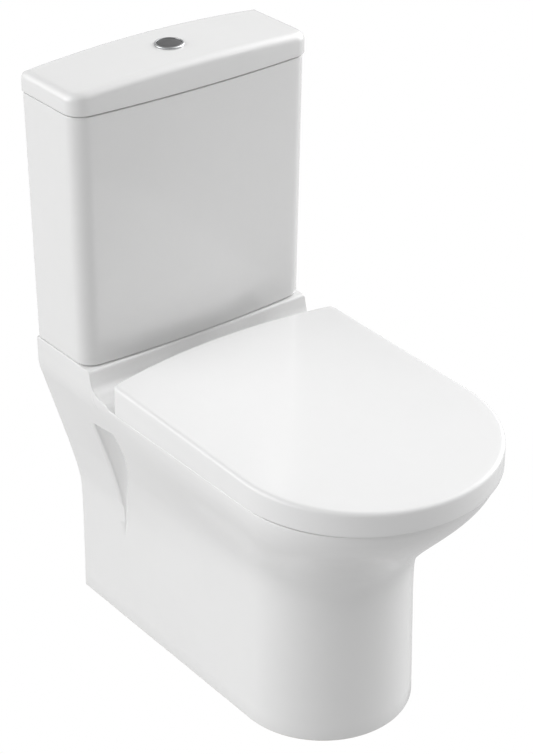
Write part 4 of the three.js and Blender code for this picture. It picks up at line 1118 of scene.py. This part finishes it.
def share_of_one(name, text, default):
    return FloatProperty(name=name, description=text, default=default, min=0, max=1, subtype="FACTOR")


class ToiletSizes(bpy.types.PropertyGroup):
    """Sizes that change the look of the pieces without changing the frame."""

    pan_wall: length("Ceramic thickness", "Thickness of the pan's wall", 0.012, 0.008, 0.014)
    pan_edge: length("Pan top edge", "Radius of the edge round the pan's top", 0.0018, 0.001, 0.008)
    recess_depth: length("Side recess depth", "Deepest part of the side recesses", 0.027, 0.01, 0.028)
    lid_edge: length("Cistern lid edge", "Radius of the cistern lid's top edge", 0.011, 0.003, 0.014)
    seat_edge: length("Seat lid edge", "Radius of the seat lid's top edge", 0.006, 0.002, 0.012)


class ToiletFinishes(bpy.types.PropertyGroup):
    """Colours and polish of the finishes."""

    ceramic_colour: colour("Ceramic", "Colour under the glaze", (0.86, 0.86, 0.858))
    seat_colour: colour("Seat", "Colour of the seat's plastic", (0.87, 0.87, 0.87))
    metal_colour: colour("Chrome", "Colour of the plated parts", (0.62, 0.63, 0.64))
    button_colour: colour("Button", "Colour of the button's satin face", (0.2, 0.2, 0.205))
    ceramic_roughness: share_of_one("Glaze roughness", "Roughness under the glaze's clear coat", 0.1)
    seat_roughness: share_of_one("Seat roughness", "Roughness of the seat's plastic", 0.16)


# ---- Operators

class ToiletPart(bpy.types.Operator):
    """Base of the operators that make pieces: builds them with the scene's settings."""

    bl_options = {"REGISTER", "UNDO"}

    def execute(self, context):
        self.build(context.scene.toilet_sizes, make_materials(context.scene.toilet_finishes))
        return {"FINISHED"}


class TOILET_OT_pan(ToiletPart):
    """Make the pan with its platform, bowl and trap"""

    bl_idname = "toilet.pan"
    bl_label = "Pan"

    def build(self, sizes, finishes):
        add_piece("glazed_pan", "root", "ceramic", finishes, pan_shells(sizes), ["pan"], sharp=50)


class TOILET_OT_cistern(ToiletPart):
    """Make the cistern and its lid"""

    bl_idname = "toilet.cistern"
    bl_label = "Cistern and lid"

    def build(self, sizes, finishes):
        tank, lid = tank_shells(), lid_shells(sizes)
        add_piece("glazed_cistern", "root", "ceramic", finishes, tank, ["cistern_tank"])
        add_piece("glazed_cistern_lid", "cistern_lid", "ceramic", finishes, lid, ["cistern_lid"])


class TOILET_OT_seat(ToiletPart):
    """Make the seat ring and its lid"""

    bl_idname = "toilet.seat"
    bl_label = "Seat and lid"

    def build(self, sizes, finishes):
        ring, lid = seat_ring_shells(), seat_lid_shells(sizes)
        add_piece("moulded_seat_ring", "seat", "seat_plastic", finishes, ring, ["seat_ring"])
        add_piece("moulded_seat_lid", "seat_lid", "seat_plastic", finishes, lid, ["seat_lid"])


class TOILET_OT_turned(ToiletPart):
    """Make the turned parts of the button, the valves, the bolts and the buffers"""

    bl_idname = "toilet.turned"
    bl_label = "Turned parts"

    def build(self, sizes, finishes):
        for name, (x, out, body, slot, radius, section) in TURNED_PARTS.items():
            sides = 96 if body in ("cistern_lid", "flush_button") else 48
            shells = [turned(section, x, out, radius, sides)]
            if x > 0:
                add_pair(f"turned_{name}", body, slot, finishes, shells, name)
            else:
                add_piece(f"turned_{name}", body, slot, finishes, shells, [name])


class TOILET_OT_hinges(ToiletPart):
    """Make the seat's hinge mounts, pins and dampers"""

    bl_idname = "toilet.hinges"
    bl_label = "Hinges"

    def build(self, sizes, finishes):
        groups = {
            "hinge_mount": ("root", "chrome", hinge_mount_shells()),
            "hinge_pin": ("root", "steel", [axle(band(0, 4, 32, 96.5))]),
            "soft_close_damper": ("seat_lid", "blue_plastic", [axle(band(4.3, 6, 34, 71))]),
        }
        for name, (body, slot, shells) in groups.items():
            add_pair(f"{name}_made", body, slot, finishes, shells, name)


class TOILET_OT_valves(ToiletPart):
    """Make the moulded parts of the flush valve, the fill valve and the wing nuts"""

    bl_idname = "toilet.valves"
    bl_label = "Valve mouldings"

    def build(self, sizes, finishes):
        moulded = {
            "flush_base": (flush_base_shells(), "flush_valve_base"),
            "actuator": (actuator_shells(), "flush_actuator"),
            "fill_head": (fill_head_shells(), "fill_valve_head"),
        }
        for name, (shells, node) in moulded.items():
            add_piece(f"moulded_{name}", "root", "white_plastic", finishes, shells, [node])
        add_pair("brass_wing_nut", "root", "brass", finishes, wing_nut_shells(), "coupling_wing_nut")
        copies = {
            "button_spring": ("flush_button", "steel", 0.2),
            "actuator_plunger": ("plunger", "blue_plastic", 0.4),
            "fill_valve_nut": ("root", "white_plastic", 0.4),
            "float_lever": ("float_lever", "blue_plastic", 0.4),
            "float_rod": ("float", "brass", 0.4),
        }
        made = {name: softened_copy(name, body, slot, finishes, bevel)
                for name, (body, slot, bevel) in copies.items()}
        spring = made["button_spring"]
        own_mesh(spring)


# ---- Stage

CAMERA_AT = (-1.4959, -1.8804, 1.8099)
CAMERA_TURN, CAMERA_RISE = math.radians(-37.796), math.radians(29.587)


def make_camera(context):
    """A long lens from the front left, above the seat."""
    data = bpy.data.cameras.new("Studio camera")
    data.lens, data.sensor_width = 103.33, 36.0
    data.clip_end = 100
    camera = bpy.data.objects.new("Studio camera", data)
    back = Vector((
        math.sin(CAMERA_TURN) * math.cos(CAMERA_RISE), -math.cos(CAMERA_TURN) * math.cos(CAMERA_RISE),
        math.sin(CAMERA_RISE),
    ))
    camera.location = CAMERA_AT
    camera.rotation_euler = back.to_track_quat("Z", "Y").to_euler()
    context.scene.collection.objects.link(camera)
    context.scene.camera = camera


FLOOR_GLOW = 0.6  # light that the floor sends up to the object


def make_floor(context):
    """A plain pale floor: a flat disc whose rings are a cosine and a sine of the angle."""
    angle = np.arange(64) * 2 * math.pi / 64
    points = np.stack([12 * np.cos(angle), 12 * np.sin(angle), 0 * angle - 0.0004], -1)
    mesh = bpy.data.meshes.new("Floor")
    mesh.from_pydata(points.tolist(), [], [list(range(64))])
    floor = bpy.data.objects.new("Floor", mesh)
    context.scene.collection.objects.link(floor)
    material = bpy.data.materials.new("pale_floor")
    material.use_nodes = True
    tree = material.node_tree
    tree.nodes.clear()
    seen = add(tree, "LightPath").outputs["Is Camera Ray"]
    glow = add(tree, "MapRange", Value=seen, To_Min=FLOOR_GLOW, To_Max=1.0)
    white = add(tree, "Emission", Color=(1, 1, 1, 1), Strength=glow.outputs[0])
    add(tree, "OutputMaterial", Surface=white.outputs[0])
    mesh.materials.append(material)


# The studio's soft light: (the way it comes from, strength).
SKY_POWER = 8.0
SKY_LOBES = [
    ((1, 0, 0.2126), 3.95), ((0.5, 0.866, 0.2126), 0.47), ((0, 1, 0.2126), 0.36),
    ((-0.866, 0.5, 0.2126), 3.9), ((-1, 0, 0.2126), 0.34), ((0.7071, -0.7071, 1), 1.43),
    ((1, 0, 1), 1.6), ((-1, 0, 1), 0.45), ((-0.7071, -0.7071, 1), 0.45), ((0, 0, 1), 0.05),
]


def make_sky(context):
    """Soft light all round, the sum of lobes of max(0, cosine to a direction) to a power."""
    world = bpy.data.worlds.new("Studio")
    context.scene.world = world
    world.use_nodes = True
    tree = world.node_tree
    tree.nodes.clear()
    place = add(tree, "TexCoord").outputs["Generated"]
    total = 0.0
    for direction, strength in SKY_LOBES:
        way = tuple(Vector(direction).normalized())
        towards = add(tree, "VectorMath", {"operation": "DOT_PRODUCT"}, _0=place, _1=way)
        lit = sum_of(tree, "MAXIMUM", towards.outputs["Value"], 0.0)
        total = sum_of(tree, "MULTIPLY_ADD", sum_of(tree, "POWER", lit, SKY_POWER), strength, total)
    soft, plain = (add(tree, "Background", Color=(1, 1, 1, 1), Strength=level) for level in (total, 1.0))
    seen = add(tree, "LightPath").outputs["Is Camera Ray"]
    mix = add(tree, "MixShader", _0=seen, _1=soft.outputs[0], _2=plain.outputs[0])
    add(tree, "OutputWorld", Surface=mix.outputs[0])


# Softboxes: name, place, size, power.
SOFTBOXES = [
    ("Left softbox", (-2.2, 0.9, 2.4), (0.16, 0.16), 1.6),
    ("Right softbox", (1.9, -1.5, 2.3), (0.14, 0.14), 1.0),
]


def make_lights(context):
    """Two softboxes that give the glaze its highlights."""
    for name, place, size, power in SOFTBOXES:
        data = bpy.data.lights.new(name, "AREA")
        data.shape, data.size, data.size_y, data.energy = "RECTANGLE", size[0], size[1], power
        light = bpy.data.objects.new(name, data)
        light.location = place
        aim = Vector((0, 0, 0.45)) - Vector(place)
        light.rotation_euler = aim.to_track_quat("-Z", "Y").to_euler()
        context.scene.collection.objects.link(light)


class TOILET_OT_stage(bpy.types.Operator):
    """Set up the floor, the soft light and the camera"""

    bl_idname = "toilet.stage"
    bl_label = "Stage"

    def execute(self, context):
        context.scene.view_settings.view_transform = "Standard"
        make_floor(context)
        make_sky(context)
        make_lights(context)
        make_camera(context)
        return {"FINISHED"}


OPERATORS = [TOILET_OT_pan, TOILET_OT_cistern, TOILET_OT_seat, TOILET_OT_turned, TOILET_OT_hinges,
             TOILET_OT_valves, TOILET_OT_stage]


class TOILET_PT_parts(bpy.types.Panel):
    """Lists the settings and the parts that can be made"""

    bl_label = "Close coupled toilet"
    bl_idname = "TOILET_PT_parts"
    bl_space_type = "VIEW_3D"
    bl_region_type = "UI"
    bl_category = "Toilet"

    def draw(self, context):
        for settings in (context.scene.toilet_sizes, context.scene.toilet_finishes):
            for name in settings.__annotations__:
                self.layout.prop(settings, name)
        for operator in OPERATORS:
            self.layout.operator(operator.bl_idname)


CLASSES = [ToiletSizes, ToiletFinishes, *OPERATORS, TOILET_PT_parts]


def register():
    for each in CLASSES:
        bpy.utils.register_class(each)
    bpy.types.Scene.toilet_sizes = PointerProperty(type=ToiletSizes)
    bpy.types.Scene.toilet_finishes = PointerProperty(type=ToiletFinishes)


def unregister():
    del bpy.types.Scene.toilet_finishes
    del bpy.types.Scene.toilet_sizes
    for each in reversed(CLASSES):
        bpy.utils.unregister_class(each)


def main():
    register()
    for operator in OPERATORS:
        group, name = operator.bl_idname.split(".")
        getattr(getattr(bpy.ops, group), name)()


if __name__ == "__main__":
    main()
